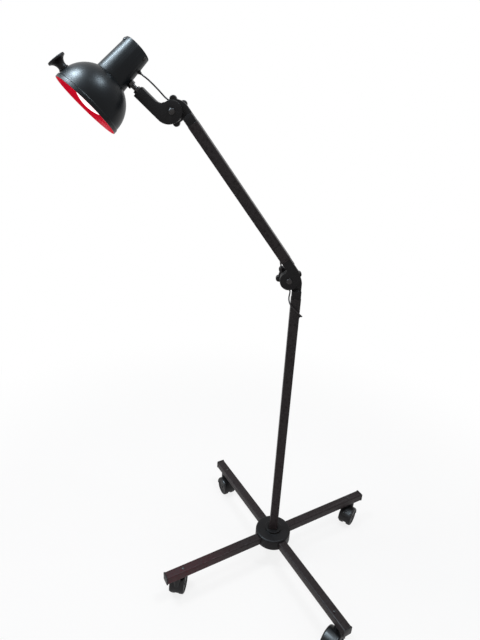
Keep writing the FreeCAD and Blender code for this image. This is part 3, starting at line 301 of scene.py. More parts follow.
# the bulb's red light painted on the liner: a red colour and a glow, the glow dimmer towards the lip
liner = {
    "red": (0.24, 0.002, 0.010), "deep": (0.11, 0.001, 0.006), "drift": (22.0, 4.0),
    "deepens": (0.4, 0.75), "grain": (260.0, 3.0), "roughness": 0.42, "driftRough": 0.15,
    "specular": 0.07, "bump": (0.1, 0.0003),
    "glow": (1.0, 0.002, 0.04), "dim": (0.62, 0.0006, 0.02), "glowStrength": 0.56,
    "dimReach": (0.040, 0.077), "dimShare": 0.8, "dimDrift": 0.4,
}


def distanceFromAxis(make, axisPoint, axis):
    # how far out from a line a point lies, and how far along it
    offset = make.vectorMaths("SUBTRACT", make.place, axisPoint)
    away = make.vectorMaths("CROSS_PRODUCT", offset, axis)
    reach = make.vectorMaths("LENGTH", away, output="Value")
    return reach, make.vectorMaths("DOT_PRODUCT", offset, axis, output="Value")


def reflectorLiner(axisPoint, axis):
    # painted red light of the bulb: the liner's red colour and its glow stand in for the bulb's light, the glow
    # dimmer towards the lip, and the red deeper in random patches
    make = Finish("reflectorLiner")
    drift = make.noise(*liner["drift"])
    reach = distanceFromAxis(make, axisPoint, axis)[0]
    dim = make.between(reach, *liner["dimReach"]) * (liner["dimShare"] + liner["dimDrift"] * drift)
    return make.surface(
        base=make.tint(make.between(drift, *liner["deepens"]), liner["red"], liner["deep"]),
        roughness=liner["roughness"] + liner["driftRough"] * (drift - 0.5),
        specular=liner["specular"], glow=make.tint(dim, liner["glow"], liner["dim"]),
        glowStrength=liner["glowStrength"],
        normal=make.bump(make.noise(*liner["grain"]), *liner["bump"]))


casting = {
    "paint": (0.0048, 0.0042, 0.0046), "worn": (0.0085, 0.0072, 0.0076),
    "bare": (0.045, 0.042, 0.041), "grain": (240.0, 6.0), "drift": (30.0, 4.0),
    "edges": (170.0, 4.0, 0.22, 0.48), "bareShare": 0.6, "roughness": 0.46, "driftRough": 0.2,
    "edgeRough": -0.1, "specular": 0.13, "bump": (0.22, 0.0005),
}


def castEnamel():
    # enamel over a slightly grainy die casting
    make = Finish("castEnamel")
    drift = make.noise(*casting["drift"])
    edge = make.wornEdges(*casting["edges"])
    colour = make.tint(drift, casting["paint"], casting["worn"])
    colour = make.tint(edge * casting["bareShare"], colour, casting["bare"])
    rough = casting["roughness"] + casting["driftRough"] * (drift - 0.5)
    return make.surface(base=colour, roughness=rough + casting["edgeRough"] * edge,
                        specular=casting["specular"],
                        normal=make.bump(make.noise(*casting["grain"]), *casting["bump"]))


moulding = {
    "drift": (24.0, 3.0), "driftShare": 0.5, "edges": (190.0, 3.0, 0.22, 0.5), "wornShare": 0.5,
    "grainDetail": 5.0, "driftRough": 0.14, "edgeRough": -0.08, "bump": (0.2, 0.0003),
}
plastics = {
    "knob_plastic": {"name": "knobPlastic", "colour": (0.0058, 0.0048, 0.005),
                     "worn": (0.016, 0.012, 0.0125), "roughness": 0.44, "specular": 0.16,
                     "grain": 380.0},
    "hood_plastic": {"name": "hoodPlastic", "colour": (0.0055, 0.0052, 0.0058),
                     "worn": (0.016, 0.014, 0.015), "roughness": 0.32, "specular": 0.24,
                     "grain": 300.0},
}


def mouldedPlastic(name, colour, worn, roughness, specular, grain):
    # fine moulding texture, paler along handled edges
    make = Finish(name)
    drift = make.noise(*moulding["drift"])
    edge = make.wornEdges(*moulding["edges"])
    base = make.tint(drift * moulding["driftShare"], colour, worn)
    base = make.tint(edge * moulding["wornShare"], base, worn)
    rough = roughness + moulding["driftRough"] * (drift - 0.5) + moulding["edgeRough"] * edge
    texture = make.noise(grain, moulding["grainDetail"])
    return make.surface(base=base, roughness=rough, specular=specular,
                        normal=make.bump(texture, *moulding["bump"]))


tread = {
    "colour": (0.0062, 0.0056, 0.006), "dusty": (0.05, 0.045, 0.042), "grain": (210.0, 4.0),
    "dust": (75.0, 6.0, 0.42, 0.72), "dustHeight": (0.05, 0.0), "dustShare": 0.55,
    "scratches": (120.0, 4.0, 0.66, 0.8, (1.0, 1.0, 0.25)), "roughness": 0.46, "dustRough": 0.25,
    "specular": 0.16, "bump": (0.16, 0.0004),
}


def wheelPlastic():
    # tread picks up pale floor dust, the sides less
    make = Finish("wheelPlastic")
    dust = make.patches(*tread["dust"]) * make.between(make.height(), *tread["dustHeight"])
    relief = make.noise(*tread["grain"]) + make.patches(*tread["scratches"])
    return make.surface(base=make.tint(dust * tread["dustShare"], tread["colour"], tread["dusty"]),
                        roughness=tread["roughness"] + tread["dustRough"] * dust,
                        specular=tread["specular"], normal=make.bump(relief, *tread["bump"]))


rubberSkin = {
    "skin": (520.0, 3.0), "drift": (45.0, 3.0), "paler": 1.8, "driftRough": 0.16,
    "specular": 0.2, "bump": (0.15, 0.0002),
}
rubbers = {
    "rubber_black": {"name": "blackRubber", "colour": (0.0075, 0.0068, 0.007), "roughness": 0.5},
    "lead": {"name": "leadSheath", "colour": (0.0125, 0.0095, 0.0105), "roughness": 0.34},
}


def rubber(name, colour, roughness):
    make = Finish(name)
    drift = make.noise(*rubberSkin["drift"])
    paler = [rubberSkin["paler"] * part for part in colour]
    return make.surface(base=make.tint(drift, colour, paler),
                        roughness=roughness + rubberSkin["driftRough"] * (drift - 0.5),
                        specular=rubberSkin["specular"],
                        normal=make.bump(make.noise(*rubberSkin["skin"]), *rubberSkin["bump"]))


plating = {
    "marks": (420.0, 4.0), "markRough": 0.22, "stains": (70.0, 4.0, 0.5, 0.8), "stainShare": 0.35,
    "stainRough": 0.12, "darker": 0.55, "bump": (0.12, 0.0002),
}
platings = {
    "zinc_steel": {"name": "zincSteel", "colour": (0.66, 0.66, 0.68), "roughness": 0.3,
                   "stretch": (1.0, 1.0, 0.15)},
    "brass_shell": {"name": "brassShell", "colour": (0.78, 0.58, 0.27), "roughness": 0.28,
                    "stretch": (1.0, 1.0, 5.0)},
    "bulb_cap_metal": {"name": "capAluminium", "colour": (0.74, 0.74, 0.75), "roughness": 0.34,
                       "stretch": (1.0, 1.0, 4.0)},
}


def plated(name, colour, roughness, stretch):
    # plated or drawn metal with fine directional marks
    make = Finish(name)
    marks = make.noise(*plating["marks"], stretch)
    stain = make.patches(*plating["stains"])
    darker = [plating["darker"] * part for part in colour]
    rough = roughness + plating["markRough"] * (marks - 0.5) + plating["stainRough"] * stain
    return make.surface(base=make.tint(stain * plating["stainShare"], colour, darker),
                        metallic=1.0, roughness=rough,
                        normal=make.bump(marks, *plating["bump"]))


blackening = {
    "oxide": (0.011, 0.0105, 0.0115), "brown": (0.02, 0.014, 0.012), "bright": (0.2, 0.19, 0.185),
    "stains": (95.0, 5.0), "marks": (600.0, 4.0, (1.0, 1.0, 0.2)),
    "edges": (260.0, 3.0, 0.3, 0.55), "brightShare": 0.35, "roughness": 0.34, "stainRough": 0.2,
    "specular": 0.3, "bump": (0.14, 0.0002),
}


def blackSteel():
    # oil-blackened steel, a little brown in places and bright where a driver has slipped
    make = Finish("blackSteel")
    stain = make.noise(*blackening["stains"])
    edge = make.wornEdges(*blackening["edges"])
    colour = make.tint(stain, blackening["oxide"], blackening["brown"])
    colour = make.tint(edge * blackening["brightShare"], colour, blackening["bright"])
    rough = blackening["roughness"] + blackening["stainRough"] * (stain - 0.5)
    return make.surface(base=colour, roughness=rough, specular=blackening["specular"],
                        normal=make.bump(make.noise(*blackening["marks"]), *blackening["bump"]))


glaze = {
    "white": (0.76, 0.74, 0.69), "cream": (0.68, 0.66, 0.6), "speck": (0.3, 0.26, 0.2),
    "body": (60.0, 4.0), "specks": (700.0, 2.0, 0.7, 0.78), "speckShare": 0.4,
    "roughness": 0.22, "bodyRough": 0.2, "specular": 0.55, "coat": 0.3, "bump": (0.08, 0.0006),
}


def porcelain():
    make = Finish("porcelain")
    body = make.noise(*glaze["body"])
    specks = make.patches(*glaze["specks"]) * glaze["speckShare"]
    base = make.tint(specks, make.tint(body, glaze["white"], glaze["cream"]), glaze["speck"])
    return make.surface(base=base, roughness=glaze["roughness"] + glaze["bodyRough"] * body,
                        specular=glaze["specular"], coat=glaze["coat"],
                        normal=make.bump(body, *glaze["bump"]))


fibre = {
    "dark": (0.05, 0.036, 0.028), "pale": (0.1, 0.08, 0.062),
    "weave": (330.0, 6.0, (1.0, 1.0, 3.0)), "roughness": 0.8, "weaveRough": 0.15,
    "specular": 0.2, "bump": (0.4, 0.0004),
}


def frictionFibre():
    make = Finish("frictionFibre")
    weave = make.noise(*fibre["weave"])
    return make.surface(base=make.tint(weave, fibre["dark"], fibre["pale"]),
                        roughness=fibre["roughness"] + fibre["weaveRough"] * (weave - 0.5),
                        specular=fibre["specular"], normal=make.bump(weave, *fibre["bump"]))


bulbLook = {
    "ruby": (0.32, 0.003, 0.01), "neck": (0.2, 0.003, 0.008),
    "white": (1.0, 0.90, 0.90), "pink": (1.0, 0.05, 0.10), "red": (0.33, 0.001, 0.012),
    "glowStrength": 1.7, "coreReach": (0.027, 0.043), "faceDepth": (0.05, 0.02),
    "stipple": 330.0, "roughness": 0.16, "stippleRough": 0.1, "specular": 0.5, "coat": 0.4,
    "bump": (0.25, 0.0004),
}


def rubyGlass(axisPoint, axis):
    # hot in the middle of the face and ruby towards its edge and neck
    make = Finish("rubyGlass")
    reach, along = distanceFromAxis(make, axisPoint, axis)
    stipple = make.make("ShaderNodeTexVoronoi", {}, {
        "Vector": make.place, "Scale": bulbLook["stipple"]}, "Distance")
    core = make.between(reach, *bulbLook["coreReach"], 1.0, 0.0)
    face = make.between(along, *bulbLook["faceDepth"])
    hot = make.tint(core, bulbLook["pink"], bulbLook["white"])
    return make.surface(
        base=make.tint(face, bulbLook["neck"], bulbLook["ruby"]), specular=bulbLook["specular"],
        roughness=bulbLook["roughness"] + bulbLook["stippleRough"] * stipple,
        coat=bulbLook["coat"], glow=make.tint(face, bulbLook["red"], hot),
        glowStrength=bulbLook["glowStrength"], normal=make.bump(stipple, *bulbLook["bump"]))


def makeFinishes():
    made = {
        "black_paint": tubeEnamel(), "shade": shadeEnamel(), "cast_black": castEnamel(),
        "wheel_plastic": wheelPlastic(), "black_steel": blackSteel(), "fibre": frictionFibre(),
        "porcelain": porcelain(),
    }
    for makeOne, looks in ((mouldedPlastic, plastics), (rubber, rubbers), (plated, platings)):
        made.update({slot: makeOne(**look) for slot, look in looks.items()})
    return made


finishes = makeFinishes()
print("finishes made,", len(finishes))


# mesh helpers
meshWork = {
    "merge": 1e-6,          # corners this close are one
    "flat": 0.4,            # facets within this angle are joined, degrees
    "sliver": 2e-6,         # edges shorter than this are dissolved
    "rubAngle": 50,         # an edge this sharp is fully rubbed, degrees
    "rim": 0.98,            # a rim is what lies past this share of the reach
}


def markRub(bm):
    # convex edges get a value near 1, flats and hollows 0
    layer = bm.verts.layers.float.new("rub")
    fullAngle = math.radians(meshWork["rubAngle"])
    for vert in bm.verts:
        angles = [edge.calc_face_angle_signed(0.0) for edge in vert.link_edges
                  if len(edge.link_faces) == 2]
        vert[layer] = min(1.0, max(0.0, max(angles, default=0.0)) / fullAngle)


def roundEdges(bm, width, segments, angle):
    sharp = [edge for edge in bm.edges
             if len(edge.link_faces) == 2 and edge.calc_face_angle(0.0) > math.radians(angle)]
    bmesh.ops.bevel(bm, geom=sharp, offset=width, offset_type="WIDTH", segments=segments,
                    profile=0.5, affect="EDGES", clamp_overlap=True)


def shaded(mesh, smooth, finish):
    mesh.shade_smooth()
    mesh.set_sharp_from_angle(angle=math.radians(smooth))
    coated(mesh, finish)


def coated(mesh, finish):
    mesh.materials.clear()
    mesh.materials.append(finish)


def evaluatedMesh(item):
    bpy.context.view_layer.update()
    evaluated = item.evaluated_get(bpy.context.evaluated_depsgraph_get())
    return bpy.data.meshes.new_from_object(evaluated)


def dressed(node, name, finish=None, width=0.0, segments=2, angle=30, smooth=32):
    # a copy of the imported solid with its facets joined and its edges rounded
    mesh = nodes[node].data.copy()
    bm = bmesh.new()
    bm.from_mesh(mesh)
    bmesh.ops.remove_doubles(bm, verts=bm.verts, dist=meshWork["merge"])
    bmesh.ops.dissolve_limit(bm, angle_limit=math.radians(meshWork["flat"]), verts=bm.verts,
                             edges=bm.edges, delimit=set())
    if width:
        roundEdges(bm, width, segments, angle)
    markRub(bm)
    bm.to_mesh(mesh)
    bm.free()
    shaded(mesh, smooth, finish or finishes[slotOf[node]])
    piece = linked(name, mesh)
    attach(piece, bodyOf[node])
    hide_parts(node)
    return piece


def solidsOf(node):
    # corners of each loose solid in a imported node, joined first, in the order of the mesh
    bm = bmesh.new()
    bm.from_mesh(nodes[node].data)
    bmesh.ops.remove_doubles(bm, verts=bm.verts, dist=meshWork["merge"])
    found = set()
    solids = []
    for first in bm.verts:
        stack = [] if first in found else [first]
        found.add(first)
        corners = []
        while stack:
            vert = stack.pop()
            corners.append(tuple(vert.co))
            fresh = [other for other in (edge.other_vert(vert) for edge in vert.link_edges)
                     if other not in found]
            found.update(fresh)
            stack.extend(fresh)
        if corners:
            solids.append(np.array(corners))
    bm.free()
    return solids


def rimOf(along, away):
    # where along the axis the widest part lies
    return along[away > meshWork["rim"] * away.max()]


def turnedShape(corners):
    # centre, axis towards the wide end, distances along and from the axis, of a turned solid
    centre = (corners.max(axis=0) + corners.min(axis=0)) / 2
    spread, axes = np.linalg.eigh(np.cov((corners - centre).T))
    axis = axes[:, 0] if spread[1] - spread[0] > spread[2] - spread[1] else axes[:, 2]
    along = (corners - centre) @ axis
    away = np.linalg.norm(corners - centre - np.outer(along, axis), axis=1)
    if rimOf(along, away).mean() < (along.max() + along.min()) / 2:
        axis = -axis
        along = -along
    return Vector(centre), Vector(axis), along, away


def placedAlong(place, axis):
    # puts a shape that is made up the Z axis at a place, along an axis
    return Matrix.Translation(place) @ axis.to_track_quat("Z", "Y").to_matrix().to_4x4()


# geometry trees: each takes named sizes and a finish, and ends as plain coated geometry
def startTree(name, sizes):
    tree = bpy.data.node_groups.new(name, "GeometryNodeTree")
    tree.interface.new_socket("Geometry", in_out="INPUT", socket_type="NodeSocketGeometry")
    for size in sizes:
        tree.interface.new_socket(size, in_out="INPUT", socket_type="NodeSocketFloat")
    tree.interface.new_socket("Finish", in_out="INPUT", socket_type="NodeSocketMaterial")
    tree.interface.new_socket("Geometry", in_out="OUTPUT", socket_type="NodeSocketGeometry")
    make = NodeTree(tree)
    entry = make.make("NodeGroupInput", {}, {}, None)
    return make, {socket.name: Wire(make, socket) for socket in entry.outputs if socket.name}


def endTree(make, shape, given):
    real = make.make("GeometryNodeRealizeInstances", {}, {"Geometry": shape})
    coatedShape = make.make("GeometryNodeSetMaterial", {}, {
        "Geometry": real, "Material": given["Finish"]})
    make.make("NodeGroupOutput", {}, {"Geometry": coatedShape}, None)
    return make.tree


def ringOf(make, corners, radius):
    return make.make("GeometryNodeCurvePrimitiveCircle", {"mode": "RADIUS"}, {
        "Resolution": corners, "Radius": radius})


def grown(name, tree, start, sizes, finish, body, smooth=35, turn=None):
    # runs a tree on a starting mesh and keeps the plain result
    item = linked(name, start)
    modifier = item.modifiers.new(name, "NODES")
    modifier.node_group = tree
    values = {**sizes, "Finish": finish}
    for socket in tree.interface.items_tree:
        if socket.in_out == "INPUT" and socket.name in values:
            modifier[socket.identifier] = values[socket.name]
    mesh = evaluatedMesh(item)
    item.modifiers.clear()
    mesh.name = name
    if turn:
        mesh.transform(turn)
    bm = bmesh.new()
    bm.from_mesh(mesh)
    bmesh.ops.dissolve_degenerate(bm, dist=meshWork["sliver"], edges=bm.edges)
    bmesh.ops.recalc_face_normals(bm, faces=bm.faces)
    markRub(bm)
    bm.to_mesh(mesh)
    bm.free()
    shaded(mesh, smooth, finish)
    item.data = mesh
    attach(item, body)
    return item


# small screws: heads only, their shanks stay inside the pieces
screwLook = {
    "crown": 0.45, "recessWidth": 0.28, "recessDepth": 0.42,    # shares of the head's own size
    "recessLength": 1.25, "corners": 32, "rings": 6, "turn": 1.5, "seed": 7,
}


def screwTree():
    # a low domed head with a cross recess on every point, each turned its own way
    make, given = startTree("crossHeadScrews", [
        "Head Radius", "Head Rise", "Crown", "Recess Width", "Recess Depth"])
    radius, rise, recess = given["Head Radius"], given["Head Rise"], given["Recess Width"]
    head = make.make("GeometryNodeMeshCylinder", {"fill_type": "TRIANGLE_FAN"}, {
        "Vertices": screwLook["corners"], "Side Segments": 1, "Fill Segments": screwLook["rings"],
        "Radius": radius, "Depth": rise})
    x, y, z = make.split(make.make("GeometryNodeInputPosition", {}, {}))
    drop = given["Crown"] * ((x * x + y * y) / (radius * radius)) * (z > 0.0)
    head = make.make("GeometryNodeSetPosition", {}, {
        "Geometry": head, "Offset": make.vectorOf(0.0, 0.0, 0.5 * rise - drop)})
    length = screwLook["recessLength"] * radius
    for wide, deep in ((length, recess), (recess, length)):
        bar = make.make("GeometryNodeMeshCube", {}, {
            "Size": make.vectorOf(wide, deep, 2.0 * given["Recess Depth"])})
        bar = make.make("GeometryNodeTransform", {}, {
            "Geometry": bar, "Translation": make.vectorOf(0.0, 0.0, rise)})
        head = make.make("GeometryNodeMeshBoolean", {
            "operation": "DIFFERENCE", "solver": "EXACT"}, {0: head, 1: bar})
    outward = make.make("GeometryNodeInputNamedAttribute", {"data_type": "FLOAT_VECTOR"}, {
        "Name": "outward"})
    facing = make.make("FunctionNodeAlignRotationToVector", {"axis": "Z"}, {"Vector": outward})
    chance = make.make("FunctionNodeRandomValue", {"data_type": "FLOAT"}, {
        2: 0.0, 3: screwLook["turn"], "Seed": screwLook["seed"]}, 1)
    turn = make.make("FunctionNodeAxisAngleToRotation", {}, {
        "Axis": (0.0, 0.0, 1.0), "Angle": chance})
    facing = make.make("FunctionNodeRotateRotation", {"rotation_space": "LOCAL"}, {
        0: facing, 1: turn})
    heads = make.make("GeometryNodeInstanceOnPoints", {}, {
        "Points": given["Geometry"], "Instance": head, "Rotation": facing})
    return endTree(make, heads, given)


crossHeads = screwTree()


def makeScrews(name, replaced):
    # a point at each head's seat, facing out of the piece
    seats = []
    for node in replaced:
        for corners in solidsOf(node):
            centre, axis, along, away = turnedShape(corners)
            seat = rimOf(along, away).min()
            seats.append((centre + axis * seat, axis, away.max(), along.max() - seat))
    mesh = bpy.data.meshes.new(name + "Seats")
    mesh.from_pydata([seat[0] for seat in seats], [], [])
    outward = mesh.attributes.new("outward", "FLOAT_VECTOR", "POINT")
    outward.data.foreach_set("vector", [part for seat in seats for part in seat[1]])
    radius = sum(seat[2] for seat in seats) / len(seats)
    rise = min(seat[3] for seat in seats)
    sizes = {"Head Radius": radius, "Head Rise": rise, "Crown": rise * screwLook["crown"],
             "Recess Width": radius * screwLook["recessWidth"],
             "Recess Depth": rise * screwLook["recessDepth"]}
    slot = slotOf[replaced[0]]
    piece = grown(name, crossHeads, mesh, sizes, finishes[slot], bodyOf[replaced[0]])
    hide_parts(*replaced)


# base
baseLook = {
    "hubEdge": 0.5 * mm, "plateEdge": 0.35 * mm, "boltEdge": 0.45 * mm, "capEdge": 0.7 * mm,
    "tubeEdge": 0.3 * mm,
}


def makeTube(node, name):
    dressed(node, name, width=baseLook["tubeEdge"], segments=1, angle=60)


def makeBase():
    dressed("base_hub", "hub", width=baseLook["hubEdge"])
    dressed("base_hub_plate", "hubPlate", width=baseLook["plateEdge"])
    dressed("hub_plate_bolts", "hubPlateBolts", width=baseLook["boltEdge"])
    for number in range(1, 5):
        makeTube("leg_tube_%d" % number, "legTube%d" % number)
    dressed("leg_end_caps", "legEndCaps", width=baseLook["capEdge"])
    makeScrews("baseScrews", ["insert_screws", "post_screws"])
    makeTube("post_tube", "post")
    dressed("base_grommets", "baseBushes")


# casters
casterLook = {"hoodEdge": 0.6 * mm, "wheelEdge": 0.5 * mm, "pinEdge": 0.3 * mm}


def makeCasters():
    for number in range(1, 5):
        caster = "caster_%d_" % number
        dressed(caster + "hood", "casterHood%d" % number, width=casterLook["hoodEdge"])
        dressed(caster + "pins", "casterPins%d" % number, width=casterLook["pinEdge"])
        for side in ("left", "right"):
            dressed(caster + "wheel_" + side, "casterWheel%d%s" % (number, side.title()),
                    width=casterLook["wheelEdge"])


# star knobs
knobLook = {
    "Lobe Count": 6.0, "Lobe Reach": 33.0 * mm, "Lobe Radius": 8.0 * mm,
    "Valley Radius": 25.5 * mm, "Valley Fillet": 2.5 * mm, "Thickness": 14.0 * mm,
    "Round": 2.4 * mm, "Hub Radius": 13.0 * mm, "Hub Rise": 10.5 * mm, "Bore Radius": 4.05 * mm,
    "Bore Depth": 20.5 * mm, "Dish Radius": 17.0 * mm, "Dish Depth": 1.0 * mm,
}
# the skin is a grid, and each stretch of the knob's section takes a share of its rows
knobSkin = {
    "columns": 145, "rows": 51, "dishFade": 0.8, "tipShare": 0.99, "smooth": 40,
    "stretches": {
        "floor": (0.0, 0.08), "wall": (0.08, 0.16), "mouth": (0.16, 0.24), "hub": (0.24, 0.32),
        "under": (0.32, 0.42), "low": (0.42, 0.54), "side": (0.54, 0.6), "high": (0.6, 0.72),
        "face": (0.72, 1.0)},
}


def knobOutline(make, given, turn):
    # the grip's radius at an angle: round lobes about the nearest lobe's middle, rounded valleys
    lobe = 2 * math.pi / given["Lobe Count"]
    swing = (make.maths("FRACT", turn / lobe + 0.5) - 0.5) * lobe
    middle = given["Lobe Reach"] - given["Lobe Radius"]
    aside = middle * make.maths("SINE", swing)
    inside = make.maths("MAXIMUM", given["Lobe Radius"] * given["Lobe Radius"] - aside * aside, 0.0)
    reach = middle * make.maths("COSINE", swing) + make.maths("SQRT", inside)
    return make.maths("SMOOTH_MAX", reach, given["Valley Radius"], given["Valley Fillet"])


def knobTree():
    # one skin wound round the axis: bore, hub, lobed grip with rounded edges, and a dished face
    make, given = startTree("lobedKnob", list(knobLook))
    skin = make.make("GeometryNodeMeshGrid", {}, {
        "Size X": 1.0, "Size Y": 1.0, "Vertices X": knobSkin["columns"],
        "Vertices Y": knobSkin["rows"]})
    column, row = make.split(make.make("GeometryNodeInputPosition", {}, {}))[:2]
    turn = (column + 0.5) * (2 * math.pi)
    done = {name: make.make("ShaderNodeMapRange", {}, {
        "Value": row + 0.5, "From Min": begin, "From Max": end})
        for name, (begin, end) in knobSkin["stretches"].items()}
    edge, hub, bore = given["Round"], given["Hub Radius"], given["Bore Radius"]
    low, high = done["low"] * (math.pi / 2), done["high"] * (math.pi / 2)
    lowRise, highIn = 1.0 - make.maths("COSINE", low), 1.0 - make.maths("COSINE", high)

    out = bore * done["floor"] + (hub - bore) * done["mouth"]
    out = out + (knobOutline(make, given, turn) - edge - hub) * done["under"]
    out = out + edge * make.maths("SINE", low) - edge * highIn
    out = out * (1.0 - done["face"])
    rise = given["Bore Depth"] - given["Hub Rise"] - given["Bore Depth"] * done["wall"]
    rise = rise + given["Hub Rise"] * done["hub"] + edge * lowRise
    rise = rise + (given["Thickness"] - 2.0 * edge) * done["side"]
    rise = rise + edge * make.maths("SINE", high)
    dish = make.make("ShaderNodeMapRange", {"interpolation_type": "SMOOTHSTEP"}, {
        "Value": out / given["Dish Radius"], "From Min": 1.0, "From Max": knobSkin["dishFade"]})
    rise = rise - given["Dish Depth"] * dish * (done["face"] > 0.0)

    place = make.vectorOf(out * make.maths("COSINE", turn), out * make.maths("SINE", turn), rise)
    shape = make.make("GeometryNodeSetPosition", {}, {"Geometry": skin, "Position": place})
    shape = make.make("GeometryNodeMergeByDistance", {}, {
        "Geometry": shape, "Distance": meshWork["merge"]})
    return endTree(make, shape, given)


lobedKnob = knobTree()


def makeKnob(name, node, centre):
    # the grip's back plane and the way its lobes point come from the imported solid
    away = np.array([corner.co - centre for corner in nodes[node].data.vertices])
    radius = np.hypot(away[:, 0], away[:, 2])
    tips = away[radius > knobSkin["tipShare"] * radius.max()]
    lobes = knobLook["Lobe Count"]
    angle = np.angle(np.exp(1j * lobes * np.arctan2(tips[:, 2], tips[:, 0])).sum()) / lobes
    lobeWay = Vector((math.cos(angle), 0, math.sin(angle)))
    turn = Matrix((lobeWay, rearward.cross(lobeWay), rearward)).transposed().to_4x4()
    back = centre + rearward * (away[:, 1].max() - knobLook["Thickness"])
    piece = grown(name, lobedKnob, bpy.data.meshes.new(name + "Start"), knobLook,
                  finishes[slotOf[node]], bodyOf[node], knobSkin["smooth"],
                  Matrix.Translation(back) @ turn)
    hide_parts(node)


# knuckles and arm
armLook = {"castEdge": 1.3 * mm, "boltEdge": 0.5 * mm, "clipEdge": 0.3 * mm}


def makeArm():
    makeTube("arm_tube", "armTube")
    castings = {
        "elbow_bracket_post": "elbowKnucklePost", "elbow_bracket_arm": "elbowKnuckleArm",
        "wrist_bracket_arm": "wristKnuckleArm", "wrist_link": "wristLink"}
    for node, name in castings.items():
        dressed(node, name, width=armLook["castEdge"], segments=3)
    dressed("elbow_bolt", "elbowBolt", width=armLook["boltEdge"])
    dressed("wrist_bolt", "wristBolt", width=armLook["boltEdge"])
    makeKnob("elbowKnob", "elbow_star_knob", elbowAt)
    makeKnob("wristKnob", "wrist_star_knob", wristAt)
    makeScrews("armScrews", ["bracket_screws"])
    dressed("arm_grommets", "armBushes")
    dressed("lead_clip", "leadClip", width=armLook["clipEdge"])
    for node in ("elbow_friction_washer", "wrist_friction_washer"):
        coated(nodes[node].data, finishes["fibre"])


# head
headLook = {
    "nutEdge": 0.5 * mm, "shellEdge": 0.3 * mm, "handleEdge": 0.7 * mm, "nippleEdge": 0.3 * mm,
    "holderEdge": 0.5 * mm, "strapEdge": 0.3 * mm,
    "swivel": 19.8,         # how far the head is swung to the rear, degrees
    "threadRadius": 5.0 * mm, "threadPitch": 1.25 * mm, "threadDepth": 0.4 * mm, "threadSteps": 36,
    "threadCorners": 4, "ribRadius": 3.0 * mm, "ribThickness": 0.35 * mm, "ribSpacing": 1.0 * mm,
    "ribTaper": 0.035, "ribFrom": 2.2 * mm, "ribCount": 3, "ribSteps": 32, "ribCorners": 8,
    "fineSmooth": 60, "glassSmooth": 50,
}


def headAxis():
    # from the rim towards the vents: square to the link, swung to the rear by the swivel
    upright = linkAxis.cross(rearward)
    if upright.z < 0:
        upright.negate()
    swing = math.radians(headLook["swivel"])
    return upright * math.cos(swing) + rearward * math.sin(swing)


def threadTree():
    # a fine ridge wound up the Z axis
    make, given = startTree("windingThread", ["Radius", "Pitch", "Length", "Depth"])
    wind = make.make("GeometryNodeCurveSpiral", {}, {
        "Resolution": headLook["threadSteps"], "Rotations": given["Length"] / given["Pitch"],
        "Start Radius": given["Radius"], "End Radius": given["Radius"],
        "Height": given["Length"]})
    ridge = ringOf(make, headLook["threadCorners"], given["Depth"])
    thread = make.make("GeometryNodeCurveToMesh", {}, {
        "Curve": wind, "Profile Curve": ridge, "Fill Caps": True})
    return endTree(make, thread, given)


def ribTree():
    # rings up the Z axis, each a little smaller than the last
    make, given = startTree("taperedRibs", ["Ring Radius", "Ring Thickness", "Spacing", "Taper"])
    row = make.make("GeometryNodeMeshLine", {"mode": "OFFSET"}, {
        "Count": headLook["ribCount"], "Start Location": (0.0, 0.0, 0.0),
        "Offset": make.vectorOf(0.0, 0.0, given["Spacing"])})
    band = make.make("GeometryNodeCurveToMesh", {}, {
        "Curve": ringOf(make, headLook["ribSteps"], given["Ring Radius"]),
        "Profile Curve": ringOf(make, headLook["ribCorners"], given["Ring Thickness"])})
    size = 1.0 - given["Taper"] * make.make("GeometryNodeInputIndex", {}, {})
    rings = make.make("GeometryNodeInstanceOnPoints", {}, {
        "Points": row, "Instance": band, "Scale": make.vectorOf(size, size, 1.0)})
    return endTree(make, rings, given)


def makeThread():
    # the stretch of the nipple that shows between its two outer nuts
    inward = (wristAt - headAt).project(linkAxis).normalized()
    reaches = [(nut - np.array(headAt)) @ np.array(inward) for nut in solidsOf("nipple_nuts")]
    spans = sorted((reach.min(), reach.max()) for reach in reaches)
    begin = spans[1][1] + headLook["threadDepth"]
    length = spans[2][0] - headLook["threadDepth"] - begin
    sizes = {"Radius": headLook["threadRadius"], "Pitch": headLook["threadPitch"],
             "Length": length, "Depth": headLook["threadDepth"]}
    piece = grown("nippleThread", threadTree(), bpy.data.meshes.new("threadStart"), sizes,
                  finishes["black_steel"], "head", headLook["fineSmooth"],
                  placedAlong(headAt + inward * begin, inward))


def makeGlandRibs():
    centre, axis, along, away = turnedShape(solidsOf("lead_gland")[0])
    if axis.dot(centre - headAt) < 0:
        axis.negate()
        along = -along
    start = centre + axis * (rimOf(along, away).min() + headLook["ribFrom"])
    sizes = {"Ring Radius": headLook["ribRadius"], "Ring Thickness": headLook["ribThickness"],
             "Spacing": headLook["ribSpacing"], "Taper": headLook["ribTaper"]}
    piece = grown("glandRibs", ribTree(), bpy.data.meshes.new("ribStart"), sizes,
                  finishes["rubber_black"], "head", headLook["fineSmooth"],
                  placedAlong(start, axis))


def makeReflector(axis):
    # enamelled outside, and inside, where the faces turn to the axis, the liner with the bulb's red light painted
    # on
    piece = dressed("dome_reflector", "reflector", finishes["shade"], headLook["shellEdge"])
    piece.data.materials.append(reflectorLiner(headAt, axis))
    middle = sum(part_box("dome_reflector"), Vector()) / 2
    centre = headAt + axis * (middle - headAt).dot(axis)
    for face in piece.data.polygons:
        offset = face.center - centre
        offset -= axis * offset.dot(axis)
        if face.normal.dot(offset) < 0:
            face.material_index = 1


def makeBulb(axis):
    corners = [corner.co for corner in nodes["bulb_glass"].data.vertices]
    face = min(corners, key=lambda point: point.dot(axis))
    facePoint = headAt + axis * (face - headAt).dot(axis)
    dressed("bulb_glass", "bulb", rubyGlass(facePoint, axis), smooth=headLook["glassSmooth"])


